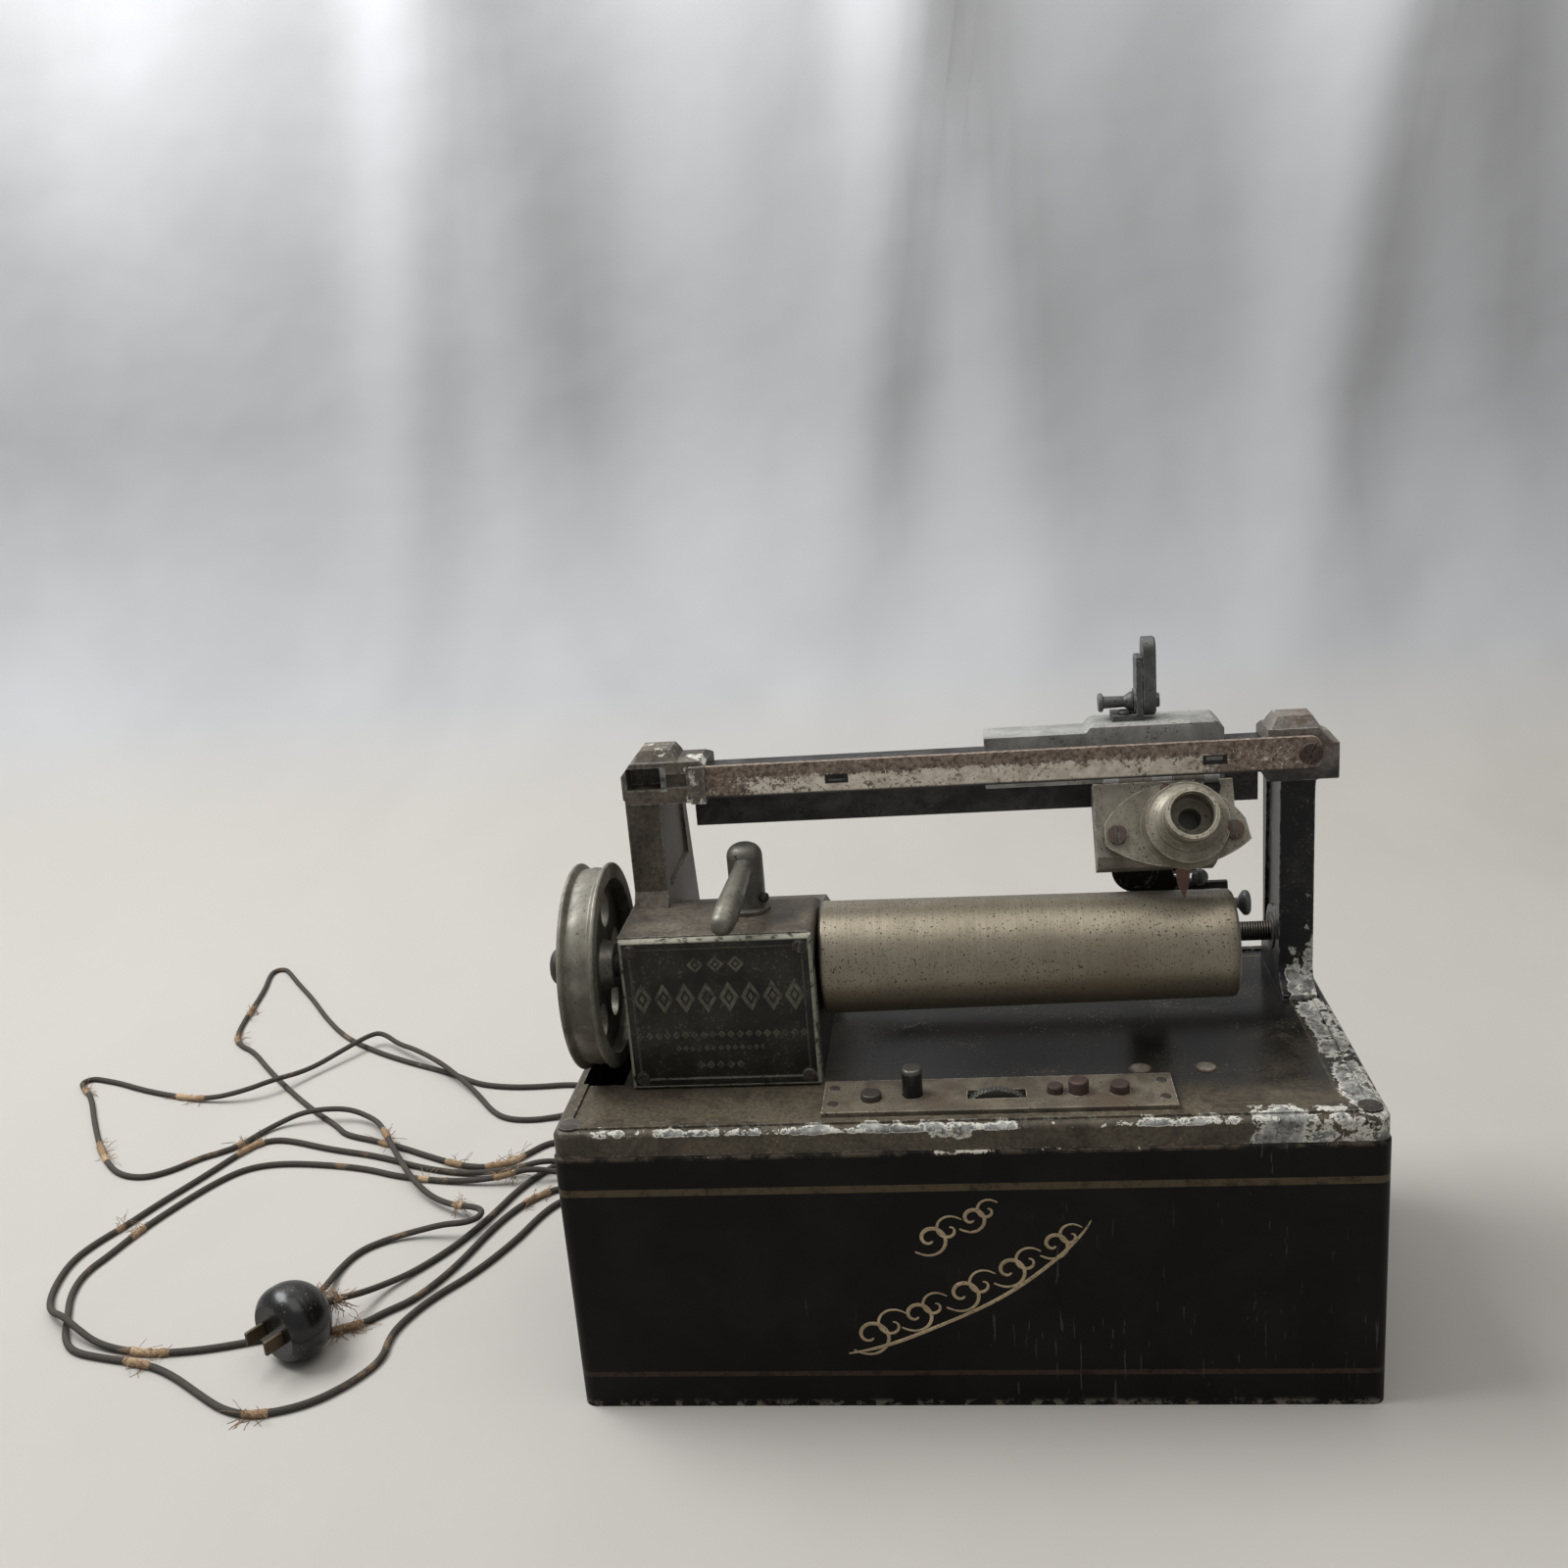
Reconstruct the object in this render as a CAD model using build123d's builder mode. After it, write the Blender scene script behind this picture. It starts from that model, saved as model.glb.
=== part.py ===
"""Wax cylinder dictating machine: black case, bedplate, gear housing with
mandrel and belt pulley, sliding recorder carriage, motor and twin line wires.

Frame: origin at the centre of the case's bottom face, +X to the operator's
right, +Y to the back, +Z up.  Millimetres.
"""
from build123d import *
from math import acos, atan2, cos, hypot, pi, radians, sin, sqrt, tan
import os

# ---------------------------------------------------------------- dimensions
RUNNING = 0.05            # radial clearance of a shaft in its bush
FREE = 0.3                # clearance between pieces that only pass each other

# case
case_length = 310.0
case_depth = 162.0
case_height = 111.0
case_wall = 8.0
case_corner_r = 5.0
glue_block = 15.0         # corner blocks inside the case, which take the bed screws
glue_block_z = 30.0
base_board_t = 8.0

# bedplate: a shallow casting, hollow underneath
bed_inset = 0.6           # the bed stands this far inside the case's outline
bed_height = 10.0
bed_z = case_height + bed_height   # top of the bed; what stands on it is measured from here
bed_plate_t = 5.0
bed_rim = 10.0
bed_edge_r = 2.5
bead_inset = 3.0
bead_width = 3.5
bead_height = 0.9
bed_screw_r = 4.5
bed_screw_inset = 6.5
bed_screw_length = 24.0
bed_screw_head = 3.5
bed_screw_shank_r = 2.2
bed_plug_r = 3.65
bed_plug_x = (70.5, 95.4)
bed_plug_y = -case_depth / 2 + 42.0

# shaft lines
spindle_y = -20.0         # the spindle's axis runs along X
spindle_z = bed_z + 43.6
feed_y = 45.0
feed_z = bed_z + 21.5
spindle_r = 5.0
feed_r = 4.15

# gear housing
house_left = -129.0
house_right = -52.6
house_front = -43.0
house_back = 62.0
house_height = 64.0
house_roof_back = -6.0    # behind this the roof falls away over the gears
house_roof_drop = 5.0
house_hump = (24.0, 54.0)        # y and height above the bed where the slope steepens
house_shoulder = (46.0, 42.0)
house_back_height = 35.5
house_wall = 4.0
cover_t = 3.0
cover_margin = 0.5
cover_border = 4.0
cover_screw_r = 2.6
cover_screw_inset = 5.0
bush_r = 8.0
bush_length = 13.0
bush_stand = 0.7

# uprights and the bar between them
column_t = 14.0
column_front = -8.0
column_back = house_back - 15.0
column_foot_back = house_back
column_left = -127.8
column_recess = 1.5
column_flange = 6.0
right_post_left = 136.0
right_post_front = 29.0
right_post_foot_front = 20.0
right_post_foot_back = case_depth / 2 - 12.5
right_post_back = right_post_foot_back - 3.5
head_front = -10.3
head_back = 14.0
head_bottom = bed_z + 105.0
head_top = bed_z + 125.5
head_bump = 4.3
bump_front = 1.5
bump_d = 18.5
head_slope_y = 5.5        # the end blocks' tops slope down behind this line
head_slope_drop = 4.0
left_head_left = -127.3
left_head_right = -93.5
left_bump_x = -113.3
left_bump_l = 18.5
right_bump_l = 19.0
head_corner = 6.0         # corners cut off the right end block
pocket_z = head_bottom + 14.0       # pockets in the left end block's front
pocket_left = -125.2
pocket_right = -111.4
pocket_h = 9.0
pocket_depth = 9.0
strip_pocket_left = -109.2
strip_pocket_h = 5.4
strip_collar_l = 6.0      # collar of the end block over the strip's left end
strip_collar_t = 2.2
right_head_left = 123.5
right_head_right = 148.0

# guide rail: a T laid on its back, head up
rail_y = 5.0
rail_head_w = 12.0
rail_head_h = 11.4
rail_top = bed_z + 119.4
rail_web_t = 4.0
rail_bottom = bed_z + 94.0
rail_web_left = left_head_right - 7.8
rail_web_right = 122.3
rail_seat = 8.0           # how far the rail's head enters each end block

# index strip in front of the rail
strip_front = -13.0
strip_t = 2.4
strip_bottom = bed_z + 110.0
strip_height = 12.9
strip_left = -101.0
strip_right = 143.0
strip_slot_x = (-41.6, 103.4)
strip_slot_l = 6.5
strip_slot_h = 2.2
strip_screw_x = 138.8
strip_screw_r = 4.4

# mandrel, pulley and gears
mandrel_left = -51.2
mandrel_right = 108.8
mandrel_r_left = 22.4
mandrel_r_right = 20.9
mandrel_wall = 2.0
mandrel_web = 4.0
pulley_left = -150.3
pulley_right = -135.7
pulley_flange_r = 41.7
pulley_tread_r = 39.2
pulley_flange_t = 1.6
pulley_rim_t = 4.0
pulley_web_t = 4.0
pulley_hub_r = 9.0
pulley_nut_r = 8.0
pulley_nut_l = 12.5
belt_slot_left = -150.2
belt_slot_right = -133.5
belt_slot_front = -41.0
belt_slot_back = 34.0
gear_module = 1.25
gear_width = 8.0
gear_x = -112.0
spindle_teeth = 18
idler_teeth = 38
feed_teeth = 18
gear_backlash = 0.35
idler_stud_r = 3.5

# carriage
sleeve_left = 57.0
sleeve_right = 108.5
tongue_left = 16.5
sleeve_wall = 2.15
sleeve_top_wall = 9.9
tongue_top_wall = 6.6
sleeve_bottom = bed_z + 105.5
sleeve_mouth = 7.0
sleeve_knuckles = ((62.0, 68.0), (80.0, 88.0), (100.0, 106.0))
head_knuckles = ((68.3, 79.7), (88.3, 99.7))
hinge_from_edge = 2.4             # hinge pin behind the leaning face's top edge

# recorder head: hangs on a hinge under the index strip, leaning 30 degrees
head_lean = 30.0
box_left = 57.5
box_right = 110.5
box_face_top = (-8.0, bed_z + 108.0)      # y, z of the leaning face's top edge
box_face_len = 34.0
box_thick = 12.0
hinge_pin_r = 1.0
hinge_barrel_r = 2.3
flange_x = 87.2
flange_down = 19.0                # centre of the flange, down the leaning face
flange_half_w = 26.5
flange_rise = 16.0
flange_drop = 16.5
flange_t = 2.8
flange_screw_x = 21.9
flange_screw_down = 3.2
flange_screw_r = 3.7
dome_x = 91.1
dome_up = -1.0
dome_r = 16.8
boss_r = 15.6
boss_h = 8.0
collar_r = 11.8
tube_r = 9.8
tube_h = 15.0
collar_h = 2.6
tube_bore_r = 8.0
tube_bore_depth = 10.0
throat_r = 4.0
pointer_left = 86.4
pointer_w = 5.5
pointer_tip_w = 0.6
pointer_t = 0.8
pointer_gap = 0.1         # between its tip and the mandrel
pin_slot_x = 100.8        # round opening at the box's upper right
pin_slot_down = 4.2
pin_slot_r = 5.2
box_cut_w = 9.0           # lower right corner, cut back behind the flange
box_cut_down = 17.5
box_chamfer = 3.8         # along the box's lower front edge
diaphragm_r = 12.0

# shaver bracket and ball lever behind the mandrel
shaver_t = 2.4
shaver_leg_t = 3.0
shaver_left = 102.7
shaver_right = 112.4
shaver_top = bed_z + 56.5
shaver_low = bed_z + 43.0
knob_z = bed_z + 46.5
knob_shaft_r = 1.5
knob_neck_r = 2.4
knob_disc_r = 5.2
ball_r = 3.3
ball_at = (100.5, 7.5, bed_z + 61.0)
ball_rod_r = 0.9
ball_hub = (93.5, bed_z + 53.5)          # x, z of its pivot in front of the bracket
ball_hub_r = 2.6
ball_hub_t = 2.0
ball_pin_r = 1.2

# feed arm and half nut
arm_left = 75.0
arm_right = 91.0
arm_front = 13.2
arm_back = 20.0
arm_boss_t = 3.0
arm_grip = 11.0           # half the width of the arm's foot over the feed screw
arm_boss = (75.2, bed_z + 64.0, 9.3)    # x, z, radius of the round boss at its elbow
half_nut_r = 9.0
half_nut_gap = 0.4        # the nut is drawn clear of the screw

# lever bracket, lift lever and thumb knob on the sleeve
bracket_left = 66.4
bracket_t = 2.4
bracket_post_left = 75.8
bracket_post_t = 2.4
bracket_top = bed_z + 154.0
bracket_w = 11.0
lever_t = 5.0
lever_w = 11.0
lever_bottom = bed_z + 130.2
lever_top = bed_z + 161.4
lever_z = bed_z + 136.0                   # the lever pivots about X at the rail's y
lever_pin_r = 2.0
thumb_left = 61.5
thumb_neck_r = 2.4
thumb_disc_r = 3.7
clamp_screw_x = 71.3
clamp_screw_r = 2.6

# start lever on the housing's roof
start_x = -80.0
start_y = -17.0
start_r = 7.1
start_top = bed_z + 92.0
start_pin_r = 3.5
start_gap = 0.4
start_handle = ((-79.6, -20.0, bed_z + 85.0), (-84.0, -52.0, bed_z + 75.0), (-84.8, -56.6, bed_z + 73.7))
start_handle_r = (3.4, 5.2)

# motor inside the case
motor_y = 10.0
motor_z = 50.0
motor_left = -126.0
motor_right = -22.0
motor_r = 34.0
motor_bore_r = 28.5
shield_t = 5.0
motor_shaft_r = 4.0
core_r = 25.0
core_left = -108.0
core_right = -58.0
commutator_r = 13.0
commutator_right = -36.0
brush_h = 5.0
brush_w = 8.0
brush_ring_l = 12.0
brush_ring_t = 3.0
motor_pulley_r = 12.0
motor_pulley_left = -147.6
motor_pulley_right = -137.2
belt_relief_z = 30.0

# wiring: two cloth covered conductors side by side
wire_d = 3.0
gland_y = case_depth / 2 - 19.0
gland_z = 16.0
gland_r = 6.0
gland_flange_r = 8.5
gland_flange_t = 3.0
floor_z = 1.6             # height of a wire's centre where it lies on the table
# points of each wire's run, from the plug to the gland; two numbers lie on the table
wire_a_points = [
    (-282.6, -31.5, 16.7), (-287, -24, 14.5), (-291, -13, 8.5), (-293.5, 0, 3.5), (-294, 14), (-290, 29),
    (-279, 39), (-265, 43, 3.5), (-251, 42, 7.5), (-241, 42, 8), (-234.5, 46, 8.4), (-235, 53, 8.2),
    (-242, 57.5, 7.5), (-254, 63, 5), (-269, 73, 4.5), (-284, 88, 7.5), (-303, 117, 8), (-318, 142, 7.5),
    (-330, 157, 4.5), (-344, 162, 7.5), (-360, 161.5, 8), (-373, 160.5, 6), (-384, 156, 2.5), (-391, 147),
    (-396, 135), (-404, 127), (-414, 121), (-424, 108), (-437, 101), (-454, 106), (-473, 126),
    (-498, 163), (-518, 196), (-529.1, 207.5), (-533.6, 212.9), (-533.9, 216.5), (-532.1, 219.1),
    (-528.7, 220.2), (-522, 218.2), (-508, 213), (-490, 204), (-464, 194), (-440, 188, 2.5),
    (-418, 188.5, 7), (-404, 198, 8.8), (-391, 218, 4.5), (-376, 242, 7), (-369, 254, 7.6),
    (-364.5, 258.6, 8), (-360.5, 259.2, 8), (-355, 256.5, 7.2), (-345, 248, 5.5), (-330, 235, 8),
    (-308, 216, 8), (-290, 199, 5), (-276, 184, 2.5), (-264, 167), (-253, 157), (-238, 154.5),
    (-223, 158), (-206, 160.5, 4.5), (-191, 158.5, 8.6), (-179, 149, 4.5), (-174, 131), (-177, 112),
    (-189, 98), (-205, 93.5, 4), (-222, 91.5, 8.6), (-239, 89.5, 4), (-262, 91), (-293, 97),
    (-315, 106.5), (-344, 112), (-366, 113.5), (-382, 109), (-393, 95), (-404.6, 69.6), (-412.5, 47),
    (-416, 30), (-421, 14), (-418, -4), (-409, -22), (-402, -37), (-393, -46), (-379, -50), (-355, -54.5),
    (-339, -62), (-319, -76), (-306, -84.5), (-294, -88), (-282, -86), (-269, -80), (-259, -70),
    (-252, -59), (-249.5, -50), (-251, -40), (-250, -29), (-242, -10), (-227, 10), (-214, 38),
    (-208.5, 57), (-202, 70), (-192, 75.5, 2.2), (-182, 71, 6), (-174.5, 63.5, 11.5), (-167, 60, 15.4),
    (-158.2, 59.8, 16),
]
wire_b_points = [
    (-278.7, -33.7, 16.7), (-277, -26, 13.5), (-273, -15, 8), (-267, -2, 3.5), (-257, 11), (-245, 29),
    (-237, 47), (-231, 64), (-226.5, 80), (-219, 96), (-210, 108), (-207, 120), (-213, 130), (-222, 129),
    (-230, 118), (-238, 108.5), (-250, 104.5), (-264, 107.5), (-283, 117), (-302, 127.5), (-321, 136),
    (-340, 143), (-349, 153.6), (-371, 173), (-398, 201), (-421, 227), (-441, 252), (-455, 262),
    (-462, 273), (-467.5, 294), (-472, 324), (-477, 352), (-481.6, 368), (-483.3, 377), (-482.9, 381.5),
    (-480.4, 384), (-477, 384.3), (-473.3, 381.7), (-467.8, 374.6), (-455, 357), (-436, 333), (-411, 297),
    (-387, 268), (-363, 249), (-336, 232), (-300, 213.5), (-282, 200), (-264, 195), (-246, 194),
    (-224, 196.5), (-207, 191), (-197, 178), (-191.5, 163), (-189, 147), (-188.5, 131), (-192, 115),
    (-203, 103, 4.5), (-217, 98.5, 8.6), (-232, 97, 4.5), (-257, 98.5), (-284, 105.5), (-312, 119),
    (-343, 127.5), (-370, 138.5), (-382, 139), (-391, 131), (-403, 100), (-414, 76), (-422, 54),
    (-429, 40), (-433, 25), (-431, 8), (-426, -8), (-417, -21, 4.5), (-406, -29, 8), (-396, -35.5, 6),
    (-384, -41.5, 2.5), (-368, -46), (-353, -47.5), (-337, -46), (-320, -42), (-303, -36), (-280, -33),
    (-267, -28), (-260, -19.5), (-249, -10), (-238, 14), (-230.5, 43), (-223.5, 62), (-213.5, 77),
    (-202, 84), (-190, 84, 2.5), (-180, 77, 7.5), (-173, 69, 12.6), (-166, 64.6, 15.4), (-158.2, 64.2, 16),
]

# plug
plug_x = -288.5
plug_y = -47.0
plug_r = 17.0
plug_way = (0.507, 0.862)         # direction in which the wires leave it
plug_back = 15.9
plug_back_r = 5.5
plug_face = -10.0
blade_l = 9.0
blade_w = 6.3
blade_t = 1.5
blade_pitch = 12.7


def at_x(x):
    """The YZ plane at x, with local x along Y and local y along Z."""
    return Plane.YZ.offset(x)


def save(part, name):
    part.label = name
    export_step(part, f"parts/{name}.step")


os.makedirs("parts", exist_ok=True)
inner_length = case_length - 2 * case_wall
inner_depth = case_depth - 2 * case_wall
bed_length = case_length - 2 * bed_inset
bed_depth = case_depth - 2 * bed_inset
screw_x = bed_length / 2 - bed_screw_inset
screw_y = bed_depth / 2 - bed_screw_inset

# --------------------------------------------------------------------- case
with BuildPart() as case_shell:
    with BuildSketch():
        RectangleRounded(case_length, case_depth, case_corner_r)
    extrude(amount=case_height)
    with BuildSketch():
        Rectangle(inner_length, inner_depth)
    extrude(amount=case_height, mode=Mode.SUBTRACT)
    with BuildSketch(Plane.XY.offset(glue_block_z)):
        with GridLocations(inner_length - glue_block, inner_depth - glue_block, 2, 2):
            Rectangle(glue_block, glue_block)
    extrude(amount=case_height - glue_block_z)
    with BuildSketch(Plane.XY.offset(case_height)):
        with GridLocations(2 * screw_x, 2 * screw_y, 2, 2):
            Circle(bed_screw_shank_r)
    extrude(amount=-bed_screw_length - bed_screw_head + bed_height, mode=Mode.SUBTRACT)
    chamfer(case_shell.faces().sort_by(Axis.Z)[-1].outer_wire().edges(), 0.8)
    # relief inside the left wall for the belt, and the wires' way out
    with BuildSketch(Plane.XY.offset(belt_relief_z)):
        with Locations(((belt_slot_left - inner_length / 2) / 2, (belt_slot_front + belt_slot_back) / 2)):
            Rectangle(-belt_slot_left - inner_length / 2, belt_slot_back - belt_slot_front)
    extrude(amount=case_height - belt_relief_z, mode=Mode.SUBTRACT)
    with BuildSketch(at_x(-case_length / 2)):
        with Locations((gland_y, gland_z)):
            Circle(gland_r)
    extrude(amount=case_wall, mode=Mode.SUBTRACT)
save(case_shell.part, "case_shell")

with BuildPart() as case_base_board:
    Box(inner_length - 0.4, inner_depth - 0.4, base_board_t,
        align=(Align.CENTER, Align.CENTER, Align.MIN))
save(case_base_board.part, "case_base_board")

# ----------------------------------------------------------------- bedplate
slot_x = (belt_slot_left + belt_slot_right) / 2
slot_width = belt_slot_right - belt_slot_left

# control plate, let on to the bed's top
plate_left = -51.5
plate_right = 80.8
plate_front = -case_depth / 2 + 10.2
plate_back = plate_front + 24.8
plate_t = 1.6
plate_lip = 1.6
plate_screw_r = 2.2
plate_screw_in_x = 4.0
plate_screw_in_y = 6.0
wheel_x = 14.6
wheel_y = plate_front + 11.3
wheel_r = 15.0
wheel_t = 3.4
wheel_rise = 2.6
wheel_pin_r = 2.0
wheel_slot_l = 22.0
wheel_slot_w = 7.0
wheel_well_l = 30.0
# buttons: name -> x, distance behind the plate's front, cap radius, height above the plate
buttons = {
    "stop_button": (-33.0, 10.3, 4.0, 2.6),
    "listen_button": (-17.2, 12.8, 3.9, 11.0),
    "index_button_a": (36.6, 11.8, 3.0, 3.0),
    "index_button_b": (45.4, 11.8, 3.8, 5.0),
    "index_button_c": (60.6, 11.3, 3.6, 3.4),
}
button_gap = 0.2
button_keeper = 0.8
button_keeper_t = 1.2

plate_x = (plate_left + plate_right) / 2
plate_y = (plate_front + plate_back) / 2
plate_w = plate_right - plate_left
plate_d = plate_back - plate_front

with BuildPart() as bedplate:
    with BuildSketch(Plane.XY.offset(case_height)):
        RectangleRounded(bed_length, bed_depth, case_corner_r)
    extrude(amount=bed_height)
    fillet(bedplate.faces().sort_by(Axis.Z)[-1].edges(), bed_edge_r)
    with BuildSketch(Plane.XY.offset(case_height)):
        Rectangle(bed_length - 2 * bed_rim, bed_depth - 2 * bed_rim)
        with GridLocations(2 * screw_x, 2 * screw_y, 2, 2):
            Rectangle(4 * bed_screw_r, 4 * bed_screw_r, mode=Mode.SUBTRACT)
    extrude(amount=bed_height - bed_plate_t, mode=Mode.SUBTRACT)
    with BuildSketch(Plane.XY.offset(bed_z)):
        RectangleRounded(bed_length - 2 * bead_inset, bed_depth - 2 * bead_inset, 4.0)
        RectangleRounded(bed_length - 2 * (bead_inset + bead_width),
                         bed_depth - 2 * (bead_inset + bead_width), 2.0, mode=Mode.SUBTRACT)
    extrude(amount=bead_height)
    with BuildSketch(Plane.XY.offset(bed_z)):
        with Locations((slot_x, (belt_slot_front + belt_slot_back) / 2)):
            Rectangle(slot_width, belt_slot_back - belt_slot_front)
        with Locations((wheel_x, wheel_y)):
            Rectangle(wheel_well_l, wheel_slot_w)
        with Locations(*[(x, bed_plug_y) for x in bed_plug_x]):
            Circle(bed_plug_r)
        for x, back, r, rise in buttons.values():
            with Locations((x, plate_front + back)):
                Circle(r + button_gap)
        with GridLocations(2 * screw_x, 2 * screw_y, 2, 2):
            Circle(bed_screw_shank_r)
    extrude(amount=bed_height + bead_height, both=True, mode=Mode.SUBTRACT)
    with BuildSketch(Plane.XY.offset(bed_z - bed_screw_head)):
        with GridLocations(2 * screw_x, 2 * screw_y, 2, 2):
            Circle(bed_screw_r)
    extrude(amount=2 * bed_screw_head, mode=Mode.SUBTRACT)
    # the bead stops at the right upright's foot
    with BuildSketch(Plane.XY.offset(bed_z)):
        with Locations((right_post_left + column_t / 2, (right_post_foot_front + right_post_foot_back) / 2)):
            Rectangle(column_t + 2, right_post_foot_back - right_post_foot_front + 2)
    extrude(amount=2 * bead_height, mode=Mode.SUBTRACT)
save(bedplate.part, "bedplate")

with BuildPart() as bed_screws:
    with BuildSketch(Plane.XY.offset(bed_z + bead_height)):
        with GridLocations(2 * screw_x, 2 * screw_y, 2, 2):
            Circle(bed_screw_r)
    extrude(amount=-bed_screw_head - bead_height)
    with BuildSketch(Plane.XY.offset(bed_z - bed_screw_head)):
        with GridLocations(2 * screw_x, 2 * screw_y, 2, 2):
            Circle(bed_screw_shank_r)
    extrude(amount=-bed_screw_length)
save(bed_screws.part, "bed_screws")

with BuildPart() as bed_plugs:
    with BuildSketch(Plane.XY.offset(bed_z - bed_plate_t)):
        with Locations(*[(x, bed_plug_y) for x in bed_plug_x]):
            Circle(bed_plug_r)
    extrude(amount=bed_plate_t + 0.4)
save(bed_plugs.part, "bed_plugs")

# ------------------------------------------------------------ control plate
with BuildPart() as control_plate:
    with BuildSketch(Plane.XY.offset(bed_z)):
        with Locations((plate_x, plate_y)):
            Rectangle(plate_w, plate_d)
    extrude(amount=plate_t)
    with BuildSketch(Plane.XY.offset(bed_z)):
        with Locations((plate_x, plate_front - plate_lip / 2)):
            Rectangle(plate_w, plate_lip)
    extrude(amount=plate_t + 0.6)
    fillet(control_plate.faces().sort_by(Axis.Z)[-1].edges().filter_by(Axis.X), 0.5)
    with BuildSketch(Plane.XY.offset(bed_z)):
        for x, back, r, rise in buttons.values():
            with Locations((x, plate_front + back)):
                Circle(r + button_gap)
        with Locations((wheel_x, wheel_y)):
            Rectangle(wheel_slot_l, wheel_slot_w)
        with Locations((plate_x, plate_y)):
            with GridLocations(plate_w - 2 * plate_screw_in_x, plate_d - 2 * plate_screw_in_y, 2, 2):
                Circle(plate_screw_r)
    extrude(amount=plate_t, mode=Mode.SUBTRACT)
save(control_plate.part, "control_plate")

with BuildPart() as control_plate_screws:
    with BuildSketch(Plane.XY.offset(bed_z)):
        with Locations((plate_x, plate_y)):
            with GridLocations(plate_w - 2 * plate_screw_in_x, plate_d - 2 * plate_screw_in_y, 2, 2):
                Circle(plate_screw_r)
    extrude(amount=plate_t + 0.4)
    chamfer(control_plate_screws.faces().sort_by(Axis.Z)[-4:].edges(), 0.3)
save(control_plate_screws.part, "control_plate_screws")

# each button is a cap on a stem, held from below by a keeper ring
keeper_top = bed_z - bed_plate_t - FREE
for name, (x, back, r, rise) in buttons.items():
    y = plate_front + back
    with BuildPart(Plane.XY.offset(keeper_top)) as button:
        with BuildSketch(Plane.XY.offset(keeper_top)):
            with Locations((x, y)):
                Circle(r)
        extrude(amount=bed_z + plate_t + rise - keeper_top)
        fillet(button.faces().sort_by(Axis.Z)[-1].edges(), 0.8)
        with BuildSketch(Plane.XY.offset(keeper_top)):
            with Locations((x, y)):
                Circle(r + button_keeper)
        extrude(amount=-button_keeper_t)
    save(button.part, name)

# the speed wheel's milled rim stands out of the plate's slot
wheel_z = bed_z + plate_t + wheel_rise - wheel_r
with BuildPart() as speed_wheel:
    with BuildSketch(Plane(origin=(wheel_x, wheel_y + wheel_t / 2, wheel_z), x_dir=(1, 0, 0),
                           z_dir=(0, -1, 0))):
        Circle(wheel_r)
        with PolarLocations(wheel_r, 60):
            Rectangle(0.8, 0.7, mode=Mode.SUBTRACT)
        Circle(wheel_pin_r + RUNNING, mode=Mode.SUBTRACT)
    extrude(amount=wheel_t)
save(speed_wheel.part, "speed_wheel")

# a U bracket under the bed carries the wheel's pin
with BuildPart() as wheel_bracket:
    ear_y = wheel_t / 2 + 1.0
    ear_t = 2.0
    for side in (-1, 1):
        with BuildSketch(Plane(origin=(wheel_x, wheel_y + side * (ear_y + ear_t / 2) + ear_t / 2, 0),
                               x_dir=(1, 0, 0), z_dir=(0, -1, 0))):
            with Locations((0, (bed_z - bed_plate_t + wheel_z) / 2)):
                Rectangle(10, bed_z - bed_plate_t - wheel_z)
            with Locations((0, wheel_z)):
                Circle(5)
        extrude(amount=ear_t)
        with BuildSketch(Plane.XY.offset(bed_z - bed_plate_t)):
            with Locations((wheel_x, wheel_y + side * (ear_y + ear_t + 2))):
                Rectangle(10, 4)
        extrude(amount=-2)
    with BuildSketch(Plane(origin=(wheel_x, wheel_y + ear_y + ear_t, wheel_z), x_dir=(1, 0, 0),
                           z_dir=(0, -1, 0))):
        Circle(wheel_pin_r)
    extrude(amount=2 * (ear_y + ear_t))
save(wheel_bracket.part, "wheel_bracket")

# -------------------------------------------------------------- gear housing
house_top = bed_z + house_height
house_w = house_right - house_left
house_d = house_back - house_front
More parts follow.
